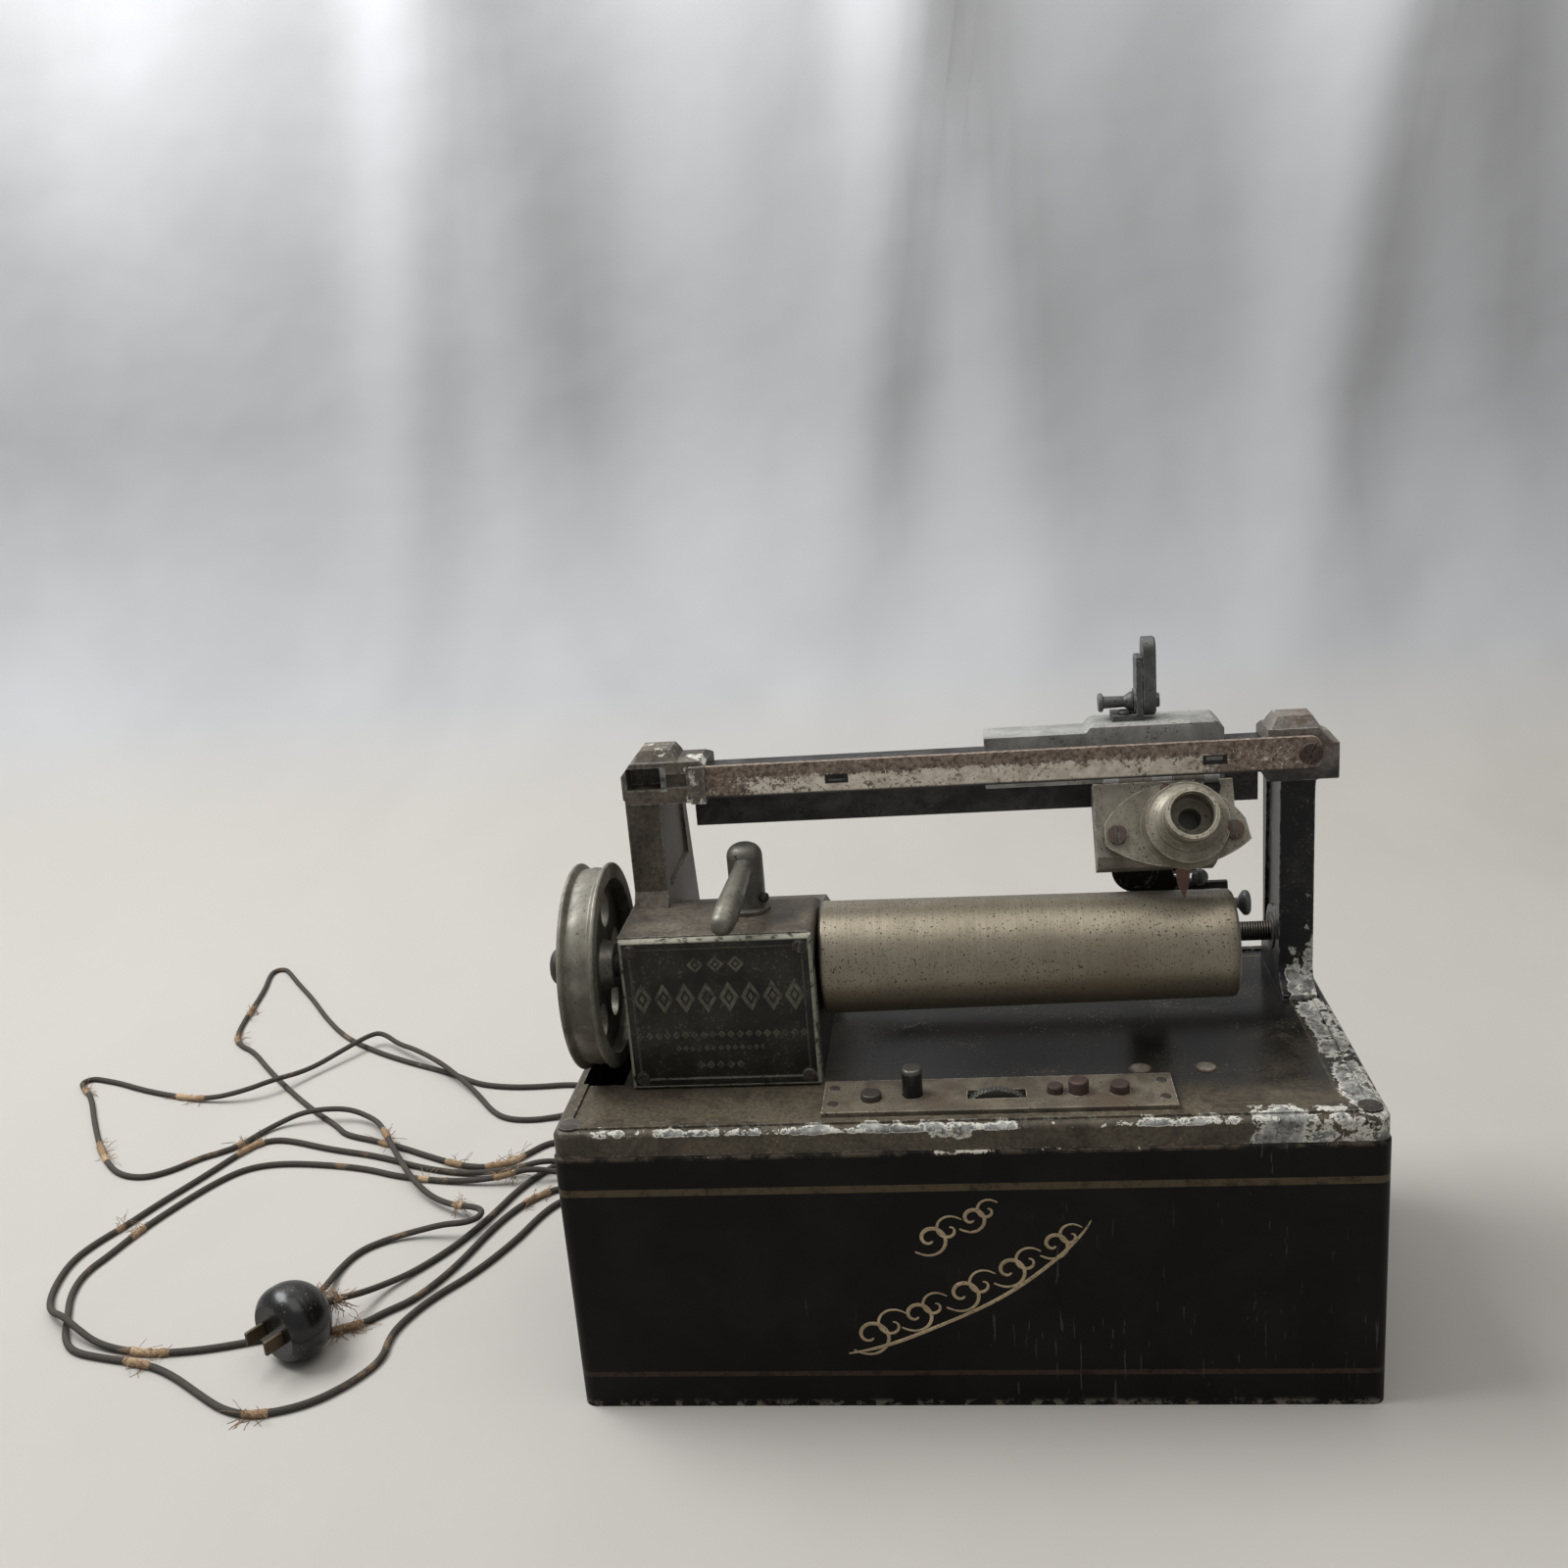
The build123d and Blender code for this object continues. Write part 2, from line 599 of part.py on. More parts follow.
# side profile of the housing: a flat roof in front, falling away to the back
house_profile = [(house_front, bed_z), (house_front, house_top), (house_roof_back, house_top),
                 (house_roof_back + 6, house_top - house_roof_drop), (house_hump[0], bed_z + house_hump[1]),
                 (house_shoulder[0], bed_z + house_shoulder[1]), (house_back, bed_z + house_back_height),
                 (house_back, bed_z)]
with BuildPart() as gear_housing:
    with BuildSketch(at_x(house_left)):
        with BuildLine():
            Polyline(*house_profile, close=True)
        make_face()
    extrude(amount=house_w)
    fillet(gear_housing.faces().sort_by(Axis.Z)[-1].edges().filter_by(Axis.Y).sort_by(Axis.X)[-1:], 3)
    # the column that carries the left end block, with a recessed inner side
    with BuildSketch(at_x(column_left)) as column:
        with BuildLine():
            l1 = Polyline((column_front - 5, house_top - 1), (column_front, house_top + 6),
                          (column_front, head_top - 8))
            l2 = Line(l1 @ 1, (column_back - 18, head_top - 8))
            l3 = ThreePointArc(l2 @ 1, (column_back - 5, head_top - 14), (column_back, head_top - 27))
            l4 = Polyline(l3 @ 1, (column_foot_back - 2, bed_z + house_back_height),
                          (house_roof_back, bed_z + 30), l1 @ 0)
        make_face()
    extrude(amount=column_t)
    with BuildSketch(at_x(column_left + column_t)):
        with BuildLine():
            Polyline((column_front + column_flange, house_top + 5),
                     (column_front + column_flange, head_bottom - 3),
                     (column_back - column_flange - 1, head_bottom - 3),
                     (column_back - column_flange + 3, house_top + 5), close=True)
        make_face()
    extrude(amount=-column_recess, mode=Mode.SUBTRACT)
    # left end block, with the bump on top and the strip's pocket in front
    with BuildSketch(Plane.XZ.offset(-strip_front)):
        with BuildLine():
            Polyline((left_head_left + 2.5, head_bottom + 3.5), (left_head_left, head_bottom + 6),
                     (left_head_left, head_top - 5), (left_head_left + 4, head_top),
                     (left_head_right - 2, head_top), (left_head_right, head_top - 2),
                     (left_head_right, head_bottom + 3.5), close=True)
        make_face()
    extrude(amount=-(head_back - strip_front))
    with BuildSketch(Plane.XY.offset(head_top - 0.5)):
        with Locations((left_bump_x, strip_front + bump_front + bump_d / 2)):
            Rectangle(left_bump_l, bump_d)
    extrude(amount=head_bump + 0.5, taper=32)
    # its top slopes down to the back
    with BuildSketch(at_x(left_head_left - 1)):
        with BuildLine():
            Polyline((head_slope_y, head_top), (head_back + 1, head_top - head_slope_drop),
                     (head_back + 1, head_top + 1), (head_slope_y, head_top + 1), close=True)
        make_face()
    extrude(amount=left_head_right - left_head_left + 2, mode=Mode.SUBTRACT)
    # room inside for the gears, open below
    with BuildSketch(at_x(house_left + house_wall)):
        with BuildLine():
            Polyline(*house_profile, close=True)
        make_face()
        offset(amount=-house_wall, kind=Kind.INTERSECTION)
        with Locations(((house_front + house_back) / 2, bed_z + house_wall)):
            Rectangle(house_d - 2 * house_wall, 2 * house_wall)
    extrude(amount=house_w - 2 * house_wall, mode=Mode.SUBTRACT)
    with BuildSketch(Plane.XZ.offset(-house_front)):
        with Locations(((house_left + house_right) / 2, bed_z + house_height / 2)):
            Rectangle(house_w - 20, house_height - 16)
    extrude(amount=-house_wall, mode=Mode.SUBTRACT)
    # bosses and bores of the two shafts
    with BuildSketch(at_x(house_left)):
        with Locations((spindle_y, spindle_z)):
            Circle(bush_r + 3)
    extrude(amount=bush_length)
    with BuildSketch(at_x(house_right)):
        with Locations((spindle_y, spindle_z), (feed_y, feed_z)):
            Circle(bush_r + 3)
    extrude(amount=-bush_length)
    with BuildSketch(at_x(house_left)):
        with Locations((feed_y, feed_z)):
            Circle(bush_r + 3)
    extrude(amount=bush_length)
    with BuildSketch(at_x(house_left - 1)):
        with Locations((spindle_y, spindle_z)):
            Circle(bush_r)
    extrude(amount=house_w + 2, mode=Mode.SUBTRACT)
    with BuildSketch(at_x(house_left + house_wall)):
        with Locations((feed_y, feed_z)):
            Circle(feed_r + RUNNING)
    extrude(amount=house_w, mode=Mode.SUBTRACT)
    # the start lever's pin goes through the roof
    with BuildSketch(Plane.XY.offset(house_top - house_wall)):
        with Locations((start_x, start_y)):
            Circle(start_pin_r + RUNNING)
    extrude(amount=house_wall, mode=Mode.SUBTRACT)
    # seat of the guide rail in the end block
    with BuildSketch(at_x(left_head_right)):
        with Locations((rail_y, rail_top - rail_head_h / 2)):
            Rectangle(rail_head_w, rail_head_h)
        with Locations((rail_y, (rail_bottom + rail_top) / 2)):
            Rectangle(rail_web_t, rail_top - rail_bottom)
    extrude(amount=-rail_seat, mode=Mode.SUBTRACT)
    # pockets in the end block's front, one of them open to the strip's end
    with BuildSketch(Plane.XZ.offset(-strip_front)):
        with Locations(((pocket_left + pocket_right) / 2, pocket_z)):
            Rectangle(pocket_right - pocket_left, pocket_h)
    extrude(amount=-pocket_depth, mode=Mode.SUBTRACT)
    with BuildSketch(Plane.XZ.offset(-strip_front)):
        with Locations(((strip_pocket_left + strip_left) / 2, pocket_z - 1)):
            Rectangle(strip_left - strip_pocket_left, strip_pocket_h)
        with Locations(((strip_left + left_head_right) / 2, strip_bottom + strip_height / 2)):
            Rectangle(left_head_right - strip_left, strip_height)
    extrude(amount=-strip_t, mode=Mode.SUBTRACT)
    with BuildSketch(Plane.XZ.offset(-strip_front)):
        with Locations((left_head_right - strip_collar_l / 2, (head_bottom + 3.5 + head_top - 2) / 2)):
            Rectangle(strip_collar_l, head_top - head_bottom - 5.5)
    extrude(amount=strip_collar_t)
save(gear_housing.part, "gear_housing")

with BuildPart() as housing_cover_plate:
    with BuildSketch(Plane.XZ.offset(-house_front)):
        with Locations(((house_left + house_right) / 2, bed_z + house_height / 2)):
            Rectangle(house_w - 2 * cover_margin, house_height - 2 * cover_margin)
    extrude(amount=cover_t)
    with BuildSketch(Plane.XZ.offset(-house_front + cover_t)):
        with Locations(((house_left + house_right) / 2, bed_z + house_height / 2)):
            Rectangle(house_w - 2 * (cover_margin + cover_border),
                      house_height - 2 * (cover_margin + cover_border))
    extrude(amount=-0.8, mode=Mode.SUBTRACT)
    chamfer(housing_cover_plate.faces().sort_by(Axis.Y)[0].outer_wire().edges(), 0.9)
    with BuildSketch(Plane.XZ.offset(-house_front + cover_t)):
        with Locations(((house_left + house_right) / 2, bed_z + house_height / 2)):
            with GridLocations(house_w - 2 * cover_screw_inset, house_height - 2 * cover_screw_inset, 2, 2):
                Circle(cover_screw_r)
    extrude(amount=-cover_t, mode=Mode.SUBTRACT)
save(housing_cover_plate.part, "housing_cover_plate")

with BuildPart() as cover_screws:
    with BuildSketch(Plane.XZ.offset(-house_front)):
        with Locations(((house_left + house_right) / 2, bed_z + house_height / 2)):
            with GridLocations(house_w - 2 * cover_screw_inset, house_height - 2 * cover_screw_inset, 2, 2):
                Circle(cover_screw_r)
    extrude(amount=cover_t + 0.5)
    chamfer(cover_screws.faces().sort_by(Axis.Y)[:4].edges(), 0.4)
save(cover_screws.part, "cover_screws")

# bronze bushes: the spindle's in the housing's side walls, the feed screw's in the upright
with BuildPart() as shaft_bushes:
    for x, toward, y, z, bore, long in (
            (house_left, 1, spindle_y, spindle_z, spindle_r, bush_length),
            (house_right, -1, spindle_y, spindle_z, spindle_r, bush_length),
            (right_post_left, 1, feed_y, feed_z, feed_r, column_t - 3)):
        with BuildSketch(at_x(x - toward * bush_stand)):
            with Locations((y, z)):
                Circle(bush_r)
                Circle(bore + RUNNING, mode=Mode.SUBTRACT)
        extrude(amount=toward * (long + bush_stand))
save(shaft_bushes.part, "shaft_bushes")

# ------------------------------------------------------------ right upright
with BuildPart() as right_upright:
    with BuildSketch(at_x(right_post_left)) as post:
        with BuildLine():
            p1 = Line((right_post_foot_front, bed_z), (right_post_foot_front, bed_z + 2))
            p2 = ThreePointArc(p1 @ 1, (right_post_front - 2.6, bed_z + 6), (right_post_front, bed_z + 16))
            p3 = Line(p2 @ 1, (right_post_front, head_bottom - 18))
            p4 = ThreePointArc(p3 @ 1, (right_post_front - 5.5, head_bottom - 5.5),
                               (right_post_front - 18, head_bottom))
            p5 = Polyline(p4 @ 1, (head_front + 1, head_bottom), (head_front, head_bottom + 1),
                          (head_front, head_top - 6), (head_back - 2, head_top - 6),
                          (right_post_back - 26, head_top - 10.5))
            p6 = ThreePointArc(p5 @ 1, (right_post_back - 7.6, head_top - 15),
                               (right_post_back, head_top - 31))
            p7 = Polyline(p6 @ 1, (right_post_foot_back - 5, bed_z + 20), (right_post_foot_back, bed_z),
                          p1 @ 0)
        make_face()
    extrude(amount=column_t)
    with BuildSketch(at_x(right_post_left)):
        with BuildLine():
            Polyline((right_post_front + column_flange, bed_z + 20),
                     (right_post_front + column_flange, head_bottom - 14),
                     (right_post_back - column_flange - 2, head_bottom - 14),
                     (right_post_back - column_flange + 1, bed_z + 20), close=True)
        make_face()
        with Locations((feed_y, feed_z)):
            Circle(bush_r + 3.5, mode=Mode.SUBTRACT)
    extrude(amount=column_recess, mode=Mode.SUBTRACT)
    # the end block: wider than the post, with a bump on top
    with BuildSketch(Plane.XZ.offset(-head_front)):
        with BuildLine():
            Polyline((right_head_left, head_bottom), (right_head_left, head_top),
                     (right_head_right - head_corner, head_top), (right_head_right, head_top - head_corner),
                     (right_head_right, head_bottom + head_corner - 0.5),
                     (right_head_right - head_corner, head_bottom), close=True)
        make_face()
    extrude(amount=-(head_back - head_front))
    with BuildSketch(Plane.XY.offset(head_top - 0.5)):
        with Locations((right_head_left + 1 + right_bump_l / 2, head_front + 0.5 + (bump_d - 2) / 2)):
            Rectangle(right_bump_l, bump_d - 2)
    extrude(amount=head_bump + 0.5, taper=32)
    with BuildSketch(at_x(right_head_left - 1)):
        with BuildLine():
            Polyline((head_slope_y, head_top), (head_back + 1, head_top - head_slope_drop),
                     (head_back + 1, head_top + 1), (head_slope_y, head_top + 1), close=True)
        make_face()
    extrude(amount=right_head_right - right_head_left + 2, mode=Mode.SUBTRACT)
    with BuildSketch(at_x(right_head_left)):
        with Locations((rail_y, rail_top - rail_head_h / 2)):
            Rectangle(rail_head_w, rail_head_h)
    extrude(amount=rail_seat, mode=Mode.SUBTRACT)
    with BuildSketch(at_x(right_post_left)):
        with Locations((feed_y, feed_z)):
            Circle(bush_r)
    extrude(amount=column_t - 3, mode=Mode.SUBTRACT)
save(right_upright.part, "right_upright")

# --------------------------------------------------------- rail and strip
with BuildPart() as guide_rail:
    with BuildSketch(at_x(left_head_right - rail_seat)):
        with Locations((rail_y, rail_top - rail_head_h / 2)):
            Rectangle(rail_head_w, rail_head_h)
    extrude(amount=right_head_left - left_head_right + 2 * rail_seat)
    fillet(guide_rail.edges().filter_by(Axis.X), 1.0)
    with BuildSketch(at_x(rail_web_left)):
        with Locations((rail_y, (rail_bottom + rail_top - rail_head_h / 2) / 2)):
            Rectangle(rail_web_t, rail_top - rail_head_h / 2 - rail_bottom)
    extrude(amount=rail_web_right - rail_web_left)
save(guide_rail.part, "guide_rail")

strip_mid = strip_bottom + strip_height / 2
with BuildPart() as index_strip:
    with BuildSketch(Plane.XZ.offset(-strip_front)):
        with Locations(((strip_left + strip_right) / 2, strip_mid)):
            Rectangle(strip_right - strip_left, strip_height)
        with Locations(*[(x, strip_mid - 0.5) for x in strip_slot_x]):
            Rectangle(strip_slot_l, strip_slot_h, mode=Mode.SUBTRACT)
    extrude(amount=-strip_t)
    fillet(index_strip.edges().filter_by(Axis.Y).sort_by(Axis.X)[-2:], 4.0)
save(index_strip.part, "index_strip")

with BuildPart() as strip_screw:
    with BuildSketch(Plane.XZ.offset(-strip_front)):
        with Locations((strip_screw_x, strip_mid)):
            Circle(strip_screw_r)
    extrude(amount=1.2)
    chamfer(strip_screw.faces().sort_by(Axis.Y)[0].edges(), 0.4)
    with BuildSketch(Plane.XZ.offset(-strip_front + 1.2)):
        with Locations((strip_screw_x, strip_mid)):
            Rectangle(1.0, 2 * strip_screw_r, rotation=-25)
    extrude(amount=-0.7, mode=Mode.SUBTRACT)
save(strip_screw.part, "strip_screw")

# ----------------------------------------------------- spindle and mandrel
with BuildPart() as spindle:
    with BuildSketch(at_x(pulley_left - 2)):
        with Locations((spindle_y, spindle_z)):
            Circle(spindle_r)
    extrude(amount=mandrel_right - 2 - pulley_left)
save(spindle.part, "spindle")


def mandrel_r(x):
    """Outer radius of the tapered mandrel at x."""
    share = (x - mandrel_left) / (mandrel_right - mandrel_left)
    return mandrel_r_left + share * (mandrel_r_right - mandrel_r_left)


spindle_axis = Axis((0, spindle_y, spindle_z), (1, 0, 0))
along_spindle = Plane(origin=(0, spindle_y, spindle_z), x_dir=(1, 0, 0), z_dir=(0, -1, 0))
cap_left = mandrel_right - mandrel_web - 3.0
with BuildPart() as mandrel_shell:
    with BuildSketch(along_spindle):
        with BuildLine():
            Polyline((mandrel_left, spindle_r), (mandrel_left, mandrel_r(mandrel_left) - 1),
                     (mandrel_left + 1, mandrel_r(mandrel_left)),
                     (mandrel_right - 1, mandrel_r(mandrel_right)),
                     (mandrel_right, mandrel_r(mandrel_right) - 1),
                     (mandrel_right, mandrel_r(mandrel_right) - mandrel_wall),
                     (mandrel_left + mandrel_web, mandrel_r(mandrel_left) - mandrel_wall),
                     (mandrel_left + mandrel_web, spindle_r), close=True)
        make_face()
    revolve(axis=spindle_axis)
save(mandrel_shell.part, "mandrel_shell")

with BuildPart() as mandrel_end_disc:
    with BuildSketch(along_spindle):
        with BuildLine():
            Polyline((cap_left, spindle_r), (cap_left, mandrel_r(cap_left) - mandrel_wall - RUNNING),
                     (cap_left + mandrel_web, mandrel_r(cap_left + mandrel_web) - mandrel_wall - RUNNING),
                     (cap_left + mandrel_web, 10.0), (mandrel_right - 2, 8.0),
                     (mandrel_right - 2, spindle_r), close=True)
        make_face()
    revolve(axis=spindle_axis)
    with BuildSketch(at_x(cap_left)):
        with Locations((spindle_y, spindle_z)):
            with PolarLocations(14.0, 5):
                Circle(3.0)
    extrude(amount=2 * mandrel_web, mode=Mode.SUBTRACT)
save(mandrel_end_disc.part, "mandrel_end_disc")

pulley_mid = (pulley_left + pulley_right) / 2
with BuildPart() as drive_pulley:
    with BuildSketch(along_spindle):
        with BuildLine():
            inner_r = pulley_tread_r - pulley_rim_t
            Polyline((pulley_left, spindle_r), (pulley_left, pulley_hub_r),
                     (pulley_mid - pulley_web_t / 2, pulley_hub_r + 1.5),
                     (pulley_mid - pulley_web_t / 2, inner_r), (pulley_left, inner_r),
                     (pulley_left, pulley_flange_r - 0.6), (pulley_left + 0.6, pulley_flange_r),
                     (pulley_left + pulley_flange_t, pulley_flange_r),
                     (pulley_left + 2 * pulley_flange_t, pulley_tread_r),
                     (pulley_mid, pulley_tread_r + 0.7),
                     (pulley_right - 2 * pulley_flange_t, pulley_tread_r),
                     (pulley_right - pulley_flange_t, pulley_flange_r),
                     (pulley_right - 0.6, pulley_flange_r), (pulley_right, pulley_flange_r - 0.6),
                     (pulley_right, inner_r), (pulley_mid + pulley_web_t / 2, inner_r),
                     (pulley_mid + pulley_web_t / 2, pulley_hub_r + 1.5),
                     (pulley_right, pulley_hub_r), (pulley_right, spindle_r), close=True)
        make_face()
    revolve(axis=spindle_axis)
    with BuildSketch(at_x(pulley_left)):
        with Locations((spindle_y, spindle_z)):
            with PolarLocations((pulley_hub_r + inner_r) / 2 + 0.7, 6):
                Circle(7.0)
    extrude(amount=pulley_right - pulley_left, mode=Mode.SUBTRACT)
save(drive_pulley.part, "drive_pulley")

with BuildPart() as pulley_nut:
    with BuildSketch(at_x(pulley_left)):
        with Locations((spindle_y, spindle_z)):
            Circle(pulley_nut_r)
    extrude(amount=-pulley_nut_l)
    fillet(pulley_nut.faces().sort_by(Axis.X)[0].edges(), 4.5)
    with BuildSketch(at_x(pulley_left)):
        with Locations((spindle_y, spindle_z)):
            Circle(spindle_r)
    extrude(amount=-2, mode=Mode.SUBTRACT)
save(pulley_nut.part, "pulley_nut")


# -------------------------------------------------------------------- gears
def gear_outline(teeth, turn, y, z):
    """Corner points of an involute spur gear about (y, z), first tooth at angle turn."""
    pitch_r = gear_module * teeth / 2
    base_r = pitch_r * cos(radians(20))
    tip_r = pitch_r + gear_module
    root_r = pitch_r - 1.25 * gear_module
    half = pi / teeth / 2 - gear_backlash / 2 / pitch_r

    def involute(r):
        a = acos(min(1.0, base_r / r))
        return tan(a) - a

    flank = []
    for share in (0.0, 0.5, 1.0):
        r = max(base_r, root_r) + share * (tip_r - max(base_r, root_r))
        flank.append((r, half + involute(pitch_r) - involute(r)))
    points = []
    for i in range(teeth):
        middle = turn + 2 * pi * i / teeth
        polar = [(root_r, -flank[0][1])] + [(r, -a) for r, a in flank]
        polar += [(r, a) for r, a in reversed(flank)] + [(root_r, flank[0][1])]
        points += [(y + r * cos(middle + a), z + r * sin(middle + a)) for r, a in polar]
    return points


def in_mesh(teeth_a, turn_a, toward_b, teeth_b):
    """First-tooth angle of gear b that puts it in mesh with gear a."""
    share_a = (toward_b - turn_a) / (2 * pi / teeth_a)
    return toward_b + pi - (0.5 - share_a) * 2 * pi / teeth_b


pitch_spindle = gear_module * spindle_teeth / 2
pitch_idler = gear_module * idler_teeth / 2
pitch_feed = gear_module * feed_teeth / 2
reach_y = feed_y - spindle_y
reach_z = feed_z - spindle_z
reach = hypot(reach_y, reach_z)
side_a = pitch_spindle + pitch_idler
side_b = pitch_idler + pitch_feed
along = (side_a ** 2 - side_b ** 2 + reach ** 2) / (2 * reach)
below = sqrt(side_a ** 2 - along ** 2)
idler_y = spindle_y + (along * reach_y + below * reach_z) / reach
idler_z = spindle_z + (along * reach_z - below * reach_y) / reach
to_idler = atan2(idler_z - spindle_z, idler_y - spindle_y)
to_feed = atan2(feed_z - idler_z, feed_y - idler_y)
idler_turn = in_mesh(spindle_teeth, 0.0, to_idler, idler_teeth)
feed_turn = in_mesh(idler_teeth, idler_turn, to_feed, feed_teeth)

gears = (("spindle_gear", spindle_teeth, 0.0, spindle_y, spindle_z, spindle_r, 0.0),
         ("idler_gear", idler_teeth, idler_turn, idler_y, idler_z, idler_stud_r + RUNNING, 9.0),
         ("feed_gear", feed_teeth, feed_turn, feed_y, feed_z, feed_r, 7.0))
for name, teeth, turn, y, z, bore, hub_r in gears:
    with BuildPart() as gear:
        with BuildSketch(at_x(gear_x)):
            with BuildLine():
                Polyline(*gear_outline(teeth, turn, y, z), close=True)
            make_face()
            with Locations((y, z)):
                Circle(bore, mode=Mode.SUBTRACT)
        extrude(amount=gear_width)
        if hub_r:
            with BuildSketch(at_x(gear_x + gear_width)):
                with Locations((y, z)):
                    Circle(hub_r)
                    Circle(bore, mode=Mode.SUBTRACT)
            extrude(amount=4)
    save(gear.part, name)

with BuildPart() as idler_stud:
    with BuildSketch(at_x(house_left + house_wall)):
        with Locations((idler_y, idler_z)):
            Circle(idler_stud_r + 3)
    extrude(amount=gear_x - house_left - house_wall - FREE)
    with BuildSketch(at_x(house_left + house_wall)):
        with Locations((idler_y, idler_z)):
            Circle(idler_stud_r)
    extrude(amount=gear_x + gear_width + 5 - house_left - house_wall)
save(idler_stud.part, "idler_stud")

feed_left = house_left + house_wall + 1
feed_right = right_post_left + column_t - 4
with BuildPart() as feed_screw:
    with BuildSketch(at_x(feed_left)):
        with Locations((feed_y, feed_z)):
            Circle(feed_r)
    extrude(amount=feed_right - feed_left)
save(feed_screw.part, "feed_screw")

# ----------------------------------------------------------------- carriage
sleeve_front = rail_y - rail_head_w / 2 - sleeve_wall
sleeve_back = rail_y + rail_head_w / 2 + sleeve_wall
sleeve_top = rail_top + sleeve_top_wall
tongue_top = rail_top + tongue_top_wall
pin_y = box_face_top[0] + hinge_from_edge * cos(radians(head_lean))
pin_z = box_face_top[1] - hinge_from_edge * sin(radians(head_lean))
with BuildPart() as carriage_sleeve:
    with BuildSketch(Plane.XZ.offset(-sleeve_front)):
        with BuildLine():
            Polyline((tongue_left, sleeve_bottom), (tongue_left, tongue_top), (sleeve_left - 1, tongue_top),
                     (sleeve_left + 1, sleeve_top - 0.8), (sleeve_left + 3, sleeve_top),
                     (sleeve_right - 4, sleeve_top), (sleeve_right - 2.4, sleeve_top - 1),
                     (sleeve_right, tongue_top - 0.5), (sleeve_right, sleeve_bottom), close=True)
        make_face()
    extrude(amount=-(sleeve_back - sleeve_front))
    chamfer(carriage_sleeve.edges().filter_by(Axis.X).group_by(Axis.Z)[-1], 1.2)
    with BuildSketch(at_x(tongue_left - 1)):
        with Locations((rail_y, rail_top - rail_head_h / 2)):
            Rectangle(rail_head_w + 2 * RUNNING, rail_head_h + 2 * RUNNING)
        with Locations((rail_y, sleeve_bottom)):
            Rectangle(sleeve_mouth, 2 * (rail_top - rail_head_h - sleeve_bottom))
    extrude(amount=sleeve_right - tongue_left + 2, mode=Mode.SUBTRACT)
    # hinge barrels and pin for the recorder head
    for left, right in sleeve_knuckles:
        with BuildSketch(at_x(left)):
            with Locations((pin_y, pin_z)):
                Circle(hinge_barrel_r)
            with BuildLine():
                Polyline((pin_y, pin_z + 1.5), (sleeve_front + 0.5, pin_z + 1.5),
                         (sleeve_front + 0.5, sleeve_bottom), (pin_y, pin_z - 1.3), close=True)
            make_face()
        extrude(amount=right - left)
    with BuildSketch(at_x(sleeve_knuckles[0][0])):
        with Locations((pin_y, pin_z)):
            Circle(hinge_pin_r)
    extrude(amount=sleeve_knuckles[-1][1] - sleeve_knuckles[0][0])
save(carriage_sleeve.part, "carriage_sleeve")

with BuildPart() as feed_arm:
    with BuildSketch(at_x(arm_left)):
        with BuildLine():
            Polyline((arm_front, sleeve_top - 4), (arm_front, feed_z + 28.5),
                     (feed_y - arm_grip, feed_z + 5.5), (feed_y - arm_grip, feed_z + 1.5),
                     (feed_y + arm_grip, feed_z + 1.5), (feed_y + arm_grip, feed_z + 10.5),
                     (feed_y + arm_grip / 2, feed_z + 15.5), (arm_back + 4, feed_z + 37.5),
                     (arm_back, feed_z + 41.5), (arm_back, sleeve_top - 4), close=True)
        make_face()
        with Locations((feed_y, feed_z)):
            Circle(half_nut_r, mode=Mode.SUBTRACT)
    extrude(amount=arm_right - arm_left)
    # the bracket behind the mandrel that carries the shaver knob
    with BuildSketch(Plane.XZ.offset(-arm_front)):
        with BuildLine():
            Polyline((arm_right - 4, shaver_top + 4), (shaver_left, shaver_top), (shaver_right, shaver_top),
                     (shaver_right + 0.6, shaver_low), (shaver_right + 0.6 - shaver_leg_t, shaver_low),
                     (shaver_right - shaver_leg_t, shaver_top - shaver_leg_t),
                     (shaver_left, shaver_top - shaver_leg_t), (arm_right - 4, shaver_top - 3), close=True)
        make_face()
    extrude(amount=-shaver_t)
    with BuildSketch(Plane.XZ.offset(-arm_front)):
        with Locations((arm_boss[0], arm_boss[1])):
            Circle(arm_boss[2])
            Circle(arm_boss[2] - 2.2, mode=Mode.SUBTRACT)
    extrude(amount=arm_boss_t)
    with BuildSketch(Plane.XZ.offset(-arm_front)):
        with Locations((arm_boss[0], arm_boss[1])):
            Circle(arm_boss[2])
    extrude(amount=arm_boss_t / 2)
    # bearing block of the knob and pin of the ball lever
    with BuildSketch(at_x(shaver_right + 0.6 - 4.0)):
        with Locations((arm_front + shaver_t / 2, knob_z)):
            Circle(knob_neck_r + 0.8)
            Circle(knob_shaft_r + RUNNING, mode=Mode.SUBTRACT)
    extrude(amount=4.0)
    with BuildSketch(at_x(shaver_right + 0.6 - 5)):
        with Locations((arm_front + shaver_t / 2, knob_z)):
            Circle(knob_shaft_r + RUNNING)
    extrude(amount=6, mode=Mode.SUBTRACT)
    with BuildSketch(Plane.XZ.offset(-arm_front)):
        with Locations(ball_hub):
            Circle(ball_hub_r + 0.6)
    extrude(amount=-shaver_t)
    with BuildSketch(Plane.XZ.offset(-arm_front)):
        with Locations(ball_hub):
            Circle(ball_pin_r)
    extrude(amount=ball_hub_t + 2 * FREE)
    with BuildSketch(Plane.XZ.offset(-arm_front + ball_hub_t + 2 * FREE)):
        with Locations(ball_hub):
            Circle(ball_pin_r + 0.8)
    extrude(amount=0.6)
save(feed_arm.part, "feed_arm")

